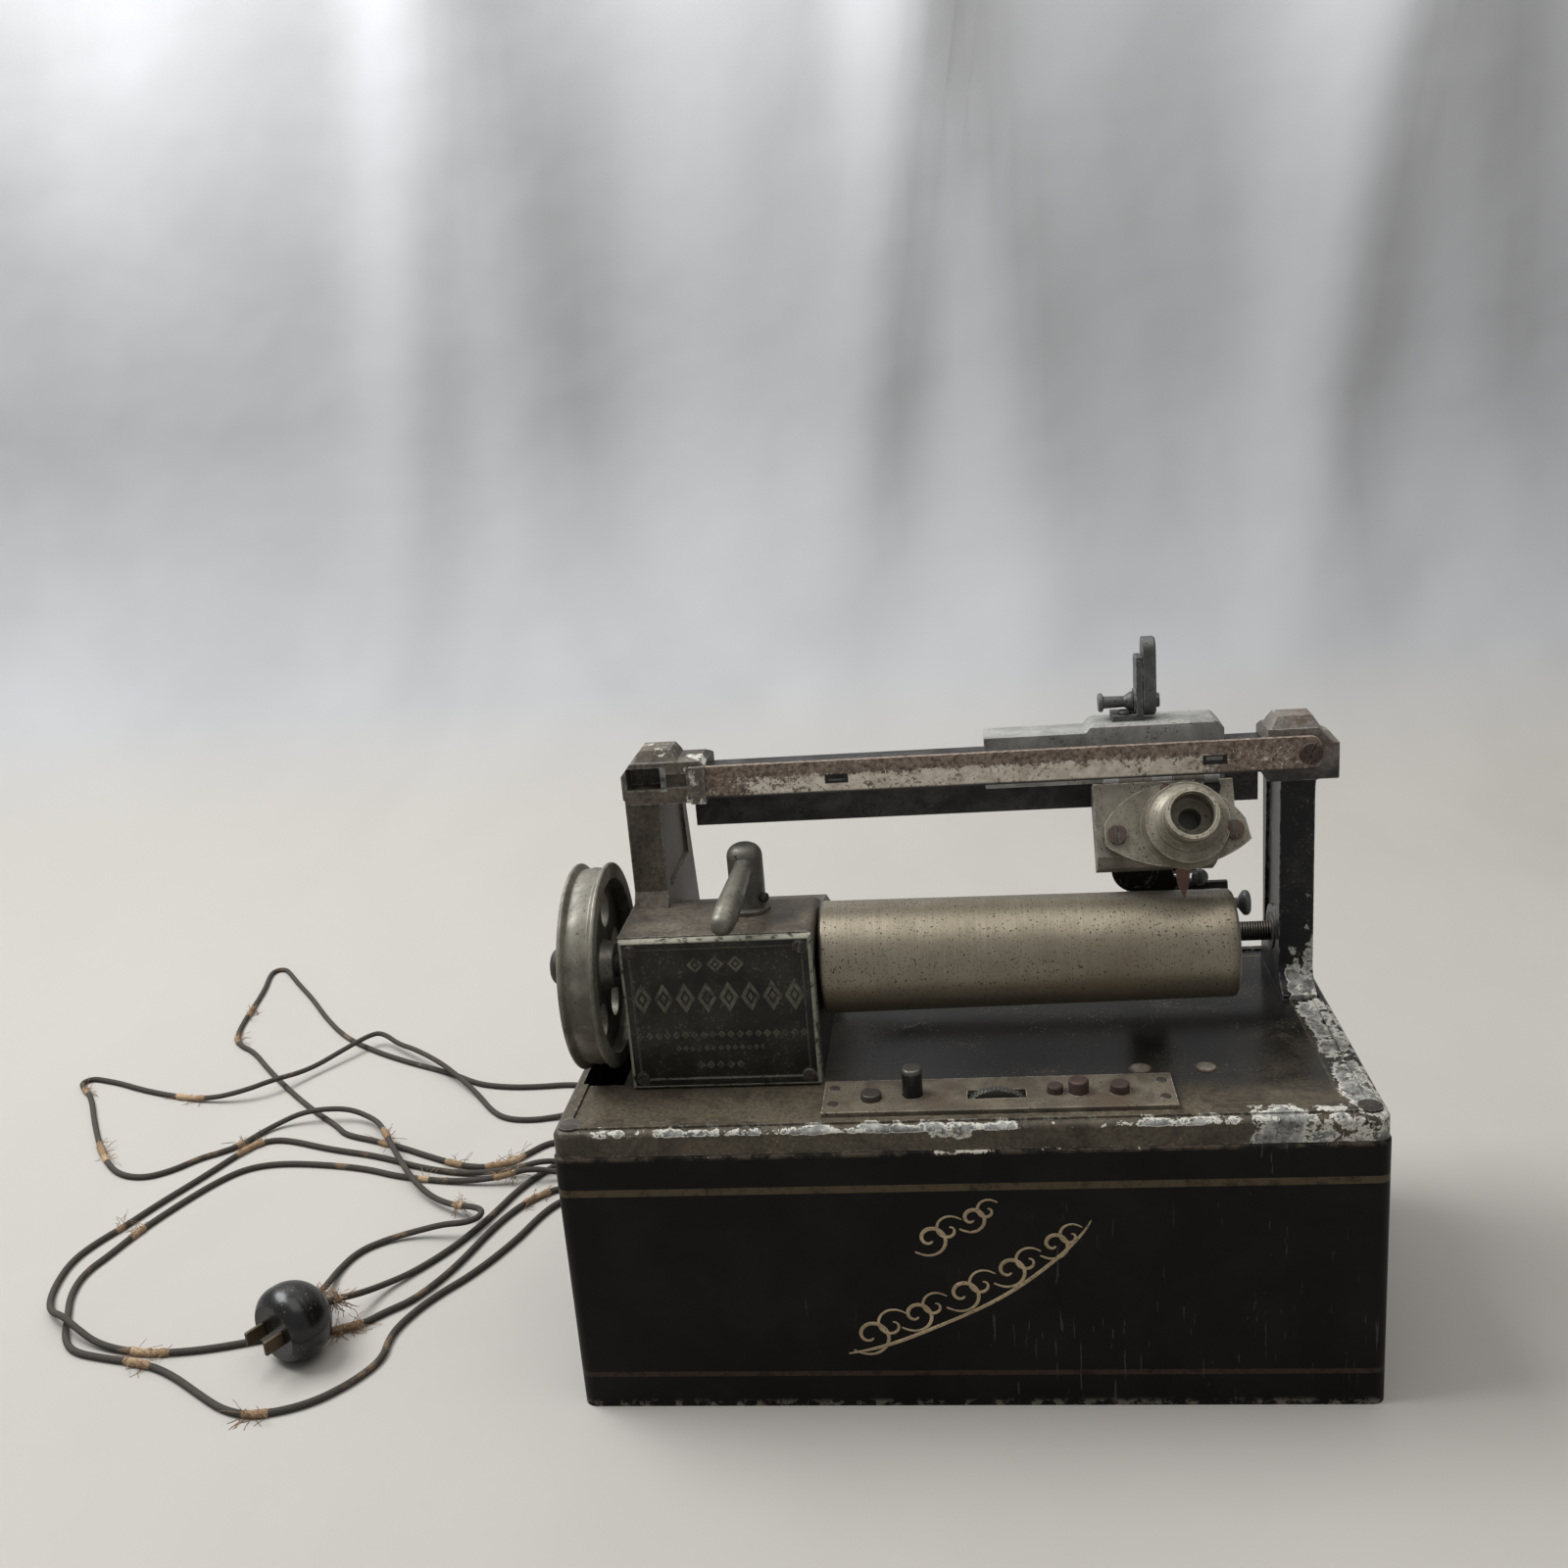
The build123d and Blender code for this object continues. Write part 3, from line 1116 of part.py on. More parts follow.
with BuildPart() as half_nut:
    with BuildSketch(at_x(arm_left)):
        with Locations((feed_y, feed_z)):
            Circle(half_nut_r)
            Circle(feed_r + half_nut_gap, mode=Mode.SUBTRACT)
        with Locations((feed_y, feed_z - half_nut_r)):
            Rectangle(3 * half_nut_r, 2 * half_nut_r, mode=Mode.SUBTRACT)
    extrude(amount=arm_right - arm_left)
save(half_nut.part, "half_nut")

ball_hub_back = -arm_front + FREE
with BuildPart() as ball_lever:
    with BuildSketch(Plane.XZ.offset(ball_hub_back)):
        with Locations(ball_hub):
            Circle(ball_hub_r)
    extrude(amount=ball_hub_t)
    rod_start = Vector(ball_hub[0] + 1.4, -ball_hub_back - ball_hub_t / 2, ball_hub[1] + 1.4)
    rod_way = Vector(*ball_at) - rod_start
    with BuildSketch(Plane(origin=rod_start, z_dir=rod_way.normalized())):
        Circle(ball_rod_r)
    extrude(amount=rod_way.length)
    with Locations(ball_at):
        Sphere(ball_r)
    with BuildSketch(Plane.XZ.offset(ball_hub_back)):
        with Locations(ball_hub):
            Circle(ball_pin_r + RUNNING)
    extrude(amount=ball_hub_t + 2, both=True, mode=Mode.SUBTRACT)
save(ball_lever.part, "ball_lever")

knob_left = shaver_right + 0.6
knob_y = arm_front + shaver_t / 2
with BuildPart() as shaver_knob:
    with BuildSketch(Plane(origin=(0, knob_y, knob_z), x_dir=(1, 0, 0), z_dir=(0, -1, 0))):
        with BuildLine():
            Polyline((knob_left - 4, 0), (knob_left - 4, knob_shaft_r), (knob_left + FREE, knob_shaft_r),
                     (knob_left + FREE, knob_neck_r + 0.6), (knob_left + 1.4, knob_neck_r),
                     (knob_left + 3.6, knob_neck_r - 0.3), (knob_left + 4.8, knob_disc_r - 1.4),
                     (knob_left + 5.6, knob_disc_r - 0.3), (knob_left + 6.4, knob_disc_r),
                     (knob_left + 7.6, knob_disc_r - 0.2), (knob_left + 8.3, knob_disc_r - 1.2),
                     (knob_left + 8.3, 0), close=True)
        make_face()
    revolve(axis=Axis((0, knob_y, knob_z), (1, 0, 0)))
save(shaver_knob.part, "shaver_knob")

with BuildPart() as lever_bracket:
    with BuildSketch(Plane.XY.offset(sleeve_top)):
        with Locations(((bracket_left + bracket_post_left + bracket_post_t) / 2, rail_y)):
            Rectangle(bracket_post_left + bracket_post_t - bracket_left, bracket_w)
    extrude(amount=bracket_t)
    with BuildSketch(at_x(bracket_post_left)):
        with Locations((rail_y, (sleeve_top + bracket_top) / 2 - 0.5)):
            Rectangle(bracket_w, bracket_top - sleeve_top - 1)
        with Locations((rail_y, bracket_top - 4)):
            Rectangle(bracket_w - 2, 8)
    extrude(amount=bracket_post_t)
    with BuildSketch(at_x(bracket_post_left - 0.8)):
        with Locations((rail_y, lever_z)):
            Circle(bracket_w / 2 - 0.4)
    extrude(amount=0.8)
    with BuildSketch(at_x(bracket_post_left + bracket_post_t)):
        with Locations((rail_y, lever_z)):
            Circle(lever_pin_r)
    extrude(amount=lever_t + 2 * FREE)
    with BuildSketch(at_x(bracket_post_left + bracket_post_t + lever_t + 2 * FREE)):
        with Locations((rail_y, lever_z)):
            Circle(lever_pin_r + 0.8)
    extrude(amount=1.2)
    with BuildSketch(at_x(bracket_post_left - 0.8)):
        with Locations((rail_y, lever_z)):
            Circle(knob_shaft_r + RUNNING)
    extrude(amount=bracket_post_t + 0.4, mode=Mode.SUBTRACT)
save(lever_bracket.part, "lever_bracket")

with BuildPart() as clamp_screw:
    with BuildSketch(Plane.XY.offset(sleeve_top + bracket_t)):
        with Locations((clamp_screw_x, rail_y - 2.6)):
            Circle(clamp_screw_r)
    extrude(amount=1.5)
    fillet(clamp_screw.faces().sort_by(Axis.Z)[-1].edges(), 1.1)
save(clamp_screw.part, "clamp_screw")

with BuildPart() as lift_lever:
    with BuildSketch(at_x(bracket_post_left + bracket_post_t + FREE)):
        with Locations((rail_y, (lever_bottom + lever_top) / 2)):
            SlotOverall(lever_top - lever_bottom, lever_w, rotation=90)
        with Locations((rail_y, lever_z)):
            Circle(lever_pin_r + RUNNING, mode=Mode.SUBTRACT)
    extrude(amount=lever_t)
    chamfer(lift_lever.faces().sort_by(Axis.X)[-1].outer_wire().edges(), 0.7)
save(lift_lever.part, "lift_lever")

thumb_right = bracket_post_left - 0.8 - FREE
with BuildPart() as thumb_knob:
    with BuildSketch(Plane(origin=(0, rail_y, lever_z), x_dir=(1, 0, 0), z_dir=(0, -1, 0))):
        with BuildLine():
            Polyline((thumb_left, 0), (thumb_left, thumb_disc_r - 0.5), (thumb_left + 0.5, thumb_disc_r),
                     (thumb_left + 1.6, thumb_disc_r), (thumb_left + 2.2, thumb_neck_r),
                     (thumb_right - 3.2, thumb_neck_r - 0.2), (thumb_right - 0.8, thumb_neck_r + 1.4),
                     (thumb_right, thumb_neck_r + 1.5), (thumb_right, knob_shaft_r),
                     (thumb_right + 2.4, knob_shaft_r), (thumb_right + 2.4, 0), close=True)
        make_face()
    revolve(axis=Axis((0, rail_y, lever_z), (1, 0, 0)))
save(thumb_knob.part, "thumb_knob")

# ------------------------------------------------------------ recorder head
lean = radians(head_lean)
face_y, face_z = box_face_top
down_y, down_z = -sin(lean), -cos(lean)
out_y, out_z = -cos(lean), sin(lean)


def on_face(right, down, out):
    """A plane parallel to the leaning face: x to the right, y up the face, z out of it."""
    origin = (right, face_y + down * down_y + out * out_y, face_z + down * down_z + out * out_z)
    return Plane(origin=origin, x_dir=(1, 0, 0), z_dir=(0, out_y, out_z))


with BuildPart() as head_box:
    with BuildSketch(at_x(box_left)):
        with BuildLine():
            Polyline((face_y, face_z),
                     (face_y - 3.1 * out_y, face_z - 3.1 * out_z),
                     (pin_y + 1.5, pin_z - 1.9),
                     (face_y + 0.9 * down_y - box_thick * out_y, face_z + 0.9 * down_z - box_thick * out_z),
                     (face_y + box_face_len * down_y - box_thick * out_y,
                      face_z + box_face_len * down_z - box_thick * out_z),
                     (face_y + box_face_len * down_y - box_chamfer * out_y,
                      face_z + box_face_len * down_z - box_chamfer * out_z),
                     (face_y + (box_face_len - box_chamfer) * down_y,
                      face_z + (box_face_len - box_chamfer) * down_z), close=True)
        make_face()
        with Locations((pin_y, pin_z)):
            Circle(hinge_barrel_r + 0.4, mode=Mode.SUBTRACT)
    extrude(amount=box_right - box_left)
    # the lower right corner is cut back behind the flange
    with BuildSketch(on_face(0, 0, 1)):
        with BuildLine():
            Polyline((box_right + 1, -box_cut_down), (box_right - box_cut_w, -box_face_len - 1),
                     (box_right + 1, -box_face_len - 1), close=True)
        make_face()
    extrude(amount=-box_thick - 2, mode=Mode.SUBTRACT)
    # room for the diaphragm, and the round opening at the upper right
    with BuildSketch(on_face(flange_x, flange_down, 0)):
        with Locations((dome_x - flange_x, dome_up)):
            Circle(diaphragm_r - 2)
    extrude(amount=-box_thick + 3, mode=Mode.SUBTRACT)
    with BuildSketch(on_face(pin_slot_x, pin_slot_down, 0)):
        Circle(pin_slot_r)
    extrude(amount=-5, mode=Mode.SUBTRACT)
    for left, right in head_knuckles:
        with BuildSketch(at_x(left)):
            with Locations((pin_y, pin_z)):
                Circle(hinge_barrel_r)
            with BuildLine():
                Polyline((pin_y - 1.5 * out_y, pin_z - 1.5 * out_z),
                         (pin_y + 1.5 * out_y, pin_z + 1.5 * out_z),
                         (pin_y + 1.5 * out_y + 4 * down_y, pin_z + 1.5 * out_z + 4 * down_z),
                         (pin_y - 1.5 * out_y + 4 * down_y, pin_z - 1.5 * out_z + 4 * down_z), close=True)
            make_face()
        extrude(amount=right - left)
    with BuildSketch(at_x(box_left)):
        with Locations((pin_y, pin_z)):
            Circle(hinge_pin_r + RUNNING)
    extrude(amount=box_right - box_left, mode=Mode.SUBTRACT)
save(head_box.part, "head_box")

tip_up = -flange_screw_down
with BuildPart() as recorder_flange:
    with BuildSketch(on_face(flange_x, flange_down, 0)):
        with BuildLine():
            f1 = ThreePointArc((-flange_half_w, tip_up + 4.2), (0, flange_rise),
                               (flange_half_w, tip_up + 4.2))
            f2 = Line(f1 @ 1, (flange_half_w + 1.5, tip_up - 3.6))
            f3 = ThreePointArc(f2 @ 1, (0, -flange_drop), (-flange_half_w, tip_up - 4.2))
            Line(f3 @ 1, f1 @ 0)
        make_face()
    extrude(amount=flange_t)
    with BuildSketch(on_face(dome_x, flange_down - dome_up, flange_t)):
        Circle(dome_r)
    extrude(amount=2.4, taper=30)
    with BuildSketch(on_face(dome_x, flange_down - dome_up, flange_t)):
        Circle(boss_r)
    extrude(amount=boss_h)
    # the dome is notched for the screw heads
    with BuildSketch(on_face(flange_x, flange_down, flange_t)):
        with Locations((-flange_screw_x, tip_up), (flange_screw_x, tip_up)):
            Circle(flange_screw_r + FREE)
    extrude(amount=boss_h, mode=Mode.SUBTRACT)
    with BuildSketch(on_face(dome_x, flange_down - dome_up, 0)):
        Circle(diaphragm_r - 2)
    extrude(amount=boss_h + flange_t - 3, mode=Mode.SUBTRACT)
    with BuildSketch(on_face(dome_x, flange_down - dome_up, 0)):
        Circle(diaphragm_r - 0.8)
    extrude(amount=1.4, mode=Mode.SUBTRACT)
    with BuildSketch(on_face(dome_x, flange_down - dome_up, 0)):
        Circle(throat_r)
    extrude(amount=boss_h + flange_t, mode=Mode.SUBTRACT)
save(recorder_flange.part, "recorder_flange")

with BuildPart() as diaphragm:
    with BuildSketch(on_face(dome_x, flange_down - dome_up, 0.9)):
        Circle(diaphragm_r - 0.8)
    extrude(amount=0.5)
save(diaphragm.part, "diaphragm")

tube_out = flange_t + boss_h
with BuildPart() as mouth_tube:
    with BuildSketch(on_face(dome_x, flange_down - dome_up, tube_out)):
        Circle(collar_r)
        Circle(throat_r, mode=Mode.SUBTRACT)
    extrude(amount=collar_h)
    with BuildSketch(on_face(dome_x, flange_down - dome_up, tube_out + collar_h)):
        Circle(tube_r)
        Circle(throat_r, mode=Mode.SUBTRACT)
    extrude(amount=tube_h - collar_h)
    with BuildSketch(on_face(dome_x, flange_down - dome_up, tube_out + tube_h)):
        Circle(tube_bore_r)
    extrude(amount=-tube_bore_depth, mode=Mode.SUBTRACT)
save(mouth_tube.part, "mouth_tube")

with BuildPart() as recorder_screws:
    with BuildSketch(on_face(flange_x, flange_down, flange_t)):
        with Locations((-flange_screw_x, tip_up), (flange_screw_x, tip_up)):
            Circle(flange_screw_r)
    extrude(amount=1.5)
    with BuildSketch(on_face(flange_x, flange_down, flange_t + 1.5)):
        with Locations((-flange_screw_x, tip_up), (flange_screw_x, tip_up)):
            Rectangle(0.9, 2 * flange_screw_r)
    extrude(amount=-0.7, mode=Mode.SUBTRACT)
save(recorder_screws.part, "recorder_screws")

with BuildPart() as stylus_bar:
    bar_y = face_y + box_face_len * down_y - 5.5 * out_y
    bar_z = face_z + box_face_len * down_z - 5.5 * out_z
    with BuildSketch(Plane.XZ.offset(-bar_y)):
        with Locations((dome_x - 0.5, bar_z - 1.9)):
            Rectangle(9.0, 1.2)
    extrude(amount=1.4, both=True)
    with BuildSketch(Plane.XZ.offset(-bar_y)):
        with Locations((dome_x - 0.5, bar_z - 1.4)):
            Rectangle(3.0, 1.0)
    extrude(amount=0.7, both=True)
save(stylus_bar.part, "stylus_bar")

# the pointer hangs under the flange's lower edge and ends just above the mandrel
pointer_y = face_y + (flange_down + flange_drop) * down_y - 0.9
pointer_top = face_z + (flange_down + flange_drop) * down_z - 0.05
pointer_mid = pointer_left + 0.58 * pointer_w
pointer_tip = (spindle_z + pointer_gap
               + sqrt(mandrel_r_left ** 2 - (pointer_y + pointer_t - spindle_y) ** 2))
pointer_waist = pointer_top - 5.9
with BuildPart() as indicator_pointer:
    with BuildSketch(Plane.XZ.offset(-pointer_y)):
        with BuildLine():
            Polyline((pointer_left, pointer_top), (pointer_left + pointer_w, pointer_top),
                     (pointer_left + pointer_w - 0.5, pointer_waist),
                     (pointer_mid + pointer_tip_w / 2, pointer_tip),
                     (pointer_mid - pointer_tip_w / 2, pointer_tip),
                     (pointer_left + 0.6, pointer_waist), close=True)
        make_face()
    extrude(amount=-pointer_t)
save(indicator_pointer.part, "indicator_pointer")

# -------------------------------------------------------------- start lever
with BuildPart() as start_lever:
    with BuildSketch(Plane.XY.offset(house_top + start_gap)):
        with Locations((start_x, start_y)):
            Circle(start_r)
    extrude(amount=start_top - house_top - start_gap)
    fillet(start_lever.faces().sort_by(Axis.Z)[-1].edges(), 5.2)
    with BuildSketch(Plane.XY.offset(house_top + start_gap)):
        with Locations((start_x, start_y)):
            Circle(start_pin_r)
    extrude(amount=-start_gap - house_wall - 1)
    grip = Vector(*start_handle[1]) - Vector(*start_handle[0])
    with BuildSketch(Plane(origin=start_handle[0], z_dir=grip.normalized())):
        Circle(start_handle_r[0])
    with BuildSketch(Plane(origin=start_handle[1], z_dir=grip.normalized())):
        Circle(start_handle_r[1])
    loft()
    with BuildSketch(Plane(origin=start_handle[1], z_dir=grip.normalized())):
        Circle(start_handle_r[1])
    with BuildSketch(Plane(origin=start_handle[2], z_dir=grip.normalized())):
        Circle(start_handle_r[1] * 0.9)
    loft()
    with Locations(start_handle[2]):
        Sphere(start_handle_r[1] * 0.9)
save(start_lever.part, "start_lever")

# -------------------------------------------------------------------- motor
with BuildPart() as motor_field:
    with BuildSketch(at_x(motor_left + shield_t)):
        with Locations((motor_y, motor_z)):
            Circle(motor_r)
    extrude(amount=motor_right - motor_left - 2 * shield_t)
    with BuildSketch(Plane.XY.offset(base_board_t)):
        with Locations(((motor_left + motor_right) / 2, motor_y)):
            with GridLocations(60, 0, 2, 1):
                Rectangle(14, 60)
    extrude(amount=6)
    with BuildSketch(Plane.XY.offset(base_board_t)):
        with Locations(((motor_left + motor_right) / 2, motor_y)):
            with GridLocations(60, 0, 2, 1):
                Rectangle(14, 36)
    extrude(amount=20)
    with BuildSketch(at_x(motor_left)):
        with Locations((motor_y, motor_z)):
            Circle(motor_bore_r)
    extrude(amount=motor_right - motor_left, mode=Mode.SUBTRACT)
save(motor_field.part, "motor_field")

with BuildPart() as motor_end_shields:
    for x, toward in ((motor_left, 1), (motor_right, -1)):
        with BuildSketch(at_x(x)):
            with Locations((motor_y, motor_z)):
                Circle(motor_r)
        extrude(amount=toward * shield_t)
        with BuildSketch(at_x(x)):
            with Locations((motor_y, motor_z)):
                Circle(motor_shaft_r + 4)
        extrude(amount=-toward * 4)
        with BuildSketch(at_x(x)):
            with Locations((motor_y, motor_z)):
                with PolarLocations(20, 6, start_angle=30):
                    Circle(5)
        extrude(amount=toward * shield_t, mode=Mode.SUBTRACT)
        with BuildSketch(at_x(x - toward * 4)):
            with Locations((motor_y, motor_z)):
                Circle(motor_shaft_r + RUNNING)
        extrude(amount=toward * (shield_t + 4), mode=Mode.SUBTRACT)
save(motor_end_shields.part, "motor_end_shields")

with BuildPart() as motor_armature:
    with BuildSketch(at_x(motor_pulley_left)):
        with Locations((motor_y, motor_z)):
            Circle(motor_shaft_r)
    extrude(amount=motor_right + 6 - motor_pulley_left)
    with BuildSketch(at_x(core_left)):
        with Locations((motor_y, motor_z)):
            Circle(core_r)
            with PolarLocations(core_r, 12):
                Rectangle(7, 2.6, mode=Mode.SUBTRACT)
    extrude(amount=core_right - core_left)
    with BuildSketch(at_x(core_right)):
        with Locations((motor_y, motor_z)):
            Circle(commutator_r)
    extrude(amount=commutator_right - core_right)
save(motor_armature.part, "motor_armature")

with BuildPart() as motor_pulley:
    with BuildSketch(Plane(origin=(0, motor_y, motor_z), x_dir=(1, 0, 0), z_dir=(0, -1, 0))):
        with BuildLine():
            Polyline((motor_pulley_left, motor_shaft_r), (motor_pulley_left, motor_pulley_r + 1.6),
                     (motor_pulley_left + 1, motor_pulley_r + 1.6),
                     (motor_pulley_left + 2, motor_pulley_r), (motor_pulley_right - 2, motor_pulley_r),
                     (motor_pulley_right - 1, motor_pulley_r + 1.6),
                     (motor_pulley_right, motor_pulley_r + 1.6),
                     (motor_pulley_right, motor_shaft_r), close=True)
        make_face()
    revolve(axis=Axis((0, motor_y, motor_z), (1, 0, 0)))
save(motor_pulley.part, "motor_pulley")

with BuildPart() as motor_brushes:
    brush_x = (core_right + commutator_right) / 2 + 2
    with BuildSketch(Plane.XY.offset(motor_z - brush_h / 2)):
        for side in (-1, 1):
            reach = motor_bore_r - commutator_r - FREE
            with Locations((brush_x, motor_y + side * (commutator_r + FREE + reach / 2))):
                Rectangle(brush_w, reach)
    extrude(amount=brush_h)
    with BuildSketch(at_x(brush_x - brush_ring_l / 2)):
        with Locations((motor_y, motor_z)):
            Circle(motor_bore_r)
            Circle(motor_bore_r - brush_ring_t, mode=Mode.SUBTRACT)
    extrude(amount=brush_ring_l)
    with BuildSketch(at_x(brush_x - brush_ring_l / 2)):
        with Locations((motor_y, motor_z)):
            Circle(motor_bore_r + brush_ring_t)
            Circle(motor_bore_r, mode=Mode.SUBTRACT)
    extrude(amount=brush_ring_l, mode=Mode.SUBTRACT)
save(motor_brushes.part, "motor_brushes")

# ---------------------------------------------------------- gland and wires
with BuildPart() as wire_gland:
    with BuildSketch(at_x(-case_length / 2)):
        with Locations((gland_y, gland_z)):
            Circle(gland_flange_r)
    extrude(amount=-gland_flange_t)
    chamfer(wire_gland.faces().sort_by(Axis.X)[0].edges(), 1.0)
    with BuildSketch(at_x(-case_length / 2)):
        with Locations((gland_y, gland_z)):
            Circle(gland_r)
    extrude(amount=case_wall)
    with BuildSketch(at_x(-case_length / 2 + case_wall)):
        with Locations((gland_y, gland_z)):
            Circle(gland_r + 2)
    extrude(amount=3)
save(wire_gland.part, "wire_gland")

for name, points in (("line_wire_a", wire_a_points), ("line_wire_b", wire_b_points)):
    path = [Vector(p[0], p[1], p[2] if len(p) > 2 else floor_z) for p in points]
    radii = []
    for before, here, after in zip(path, path[1:], path[2:]):
        turn = (here - before).get_angle(after - here)
        shorter = min((here - before).length, (after - here).length)
        radii.append(0.45 * shorter / tan(radians(max(turn, 0.2)) / 2))
    print(name, "length", round(sum((b - a).length for a, b in zip(path, path[1:]))),
          "smallest radii", [round(r, 1) for r in sorted(radii)[:10]])
    with BuildPart() as wire:
        with BuildLine():
            run = FilletPolyline(*path, radius=radii)
        with BuildSketch(Plane(origin=run @ 0, z_dir=run % 0)):
            Circle(wire_d / 2)
        sweep(path=run)
    save(wire.part, name)

plug_u = Vector(plug_way[0], plug_way[1], 0).normalized()
plug_plane = Plane(origin=(plug_x, plug_y, plug_r), x_dir=plug_u, z_dir=(0, 0, 1))
with BuildPart() as plug_body:
    with BuildSketch(plug_plane):
        with BuildLine():
            g1 = Polyline((plug_back, 0), (plug_back, plug_back_r - 1), (plug_back - 1, plug_back_r))
            g2 = ThreePointArc(g1 @ 1, (10.0, 13.2), (-1.0, plug_r))
            g3 = ThreePointArc(g2 @ 1, (-6.5, 15.9), (plug_face, 12.5))
            Polyline(g3 @ 1, (plug_face, 0), g1 @ 0)
        make_face()
    revolve(axis=Axis((plug_x, plug_y, plug_r), plug_u))
save(plug_body.part, "plug_body")

with BuildPart() as plug_blades:
    with BuildSketch(Plane(origin=Vector(plug_x, plug_y, plug_r) + plug_u * plug_face,
                           x_dir=(-plug_u.Y, plug_u.X, 0), z_dir=-plug_u)):
        with GridLocations(blade_pitch, 0, 2, 1):
            Rectangle(blade_t, blade_w)
    extrude(amount=blade_l)
save(plug_blades.part, "plug_blades")
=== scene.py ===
"""Looks of the wax cylinder dictating machine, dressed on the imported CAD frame."""
import math
import random

import bmesh
import bpy
from mathutils import Matrix, Vector


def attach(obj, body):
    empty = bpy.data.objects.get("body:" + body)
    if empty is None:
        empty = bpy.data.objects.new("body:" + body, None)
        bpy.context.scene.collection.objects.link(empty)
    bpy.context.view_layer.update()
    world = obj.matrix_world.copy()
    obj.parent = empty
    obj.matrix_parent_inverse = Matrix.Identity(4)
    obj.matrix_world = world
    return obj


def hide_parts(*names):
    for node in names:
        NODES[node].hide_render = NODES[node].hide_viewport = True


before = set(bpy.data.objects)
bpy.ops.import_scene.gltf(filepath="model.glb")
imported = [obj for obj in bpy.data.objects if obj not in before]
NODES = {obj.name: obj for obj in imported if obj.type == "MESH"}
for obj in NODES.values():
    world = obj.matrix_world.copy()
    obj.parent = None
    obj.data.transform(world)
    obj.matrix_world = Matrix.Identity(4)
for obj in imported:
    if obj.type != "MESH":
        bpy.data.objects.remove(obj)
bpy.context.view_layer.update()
MM = 0.001


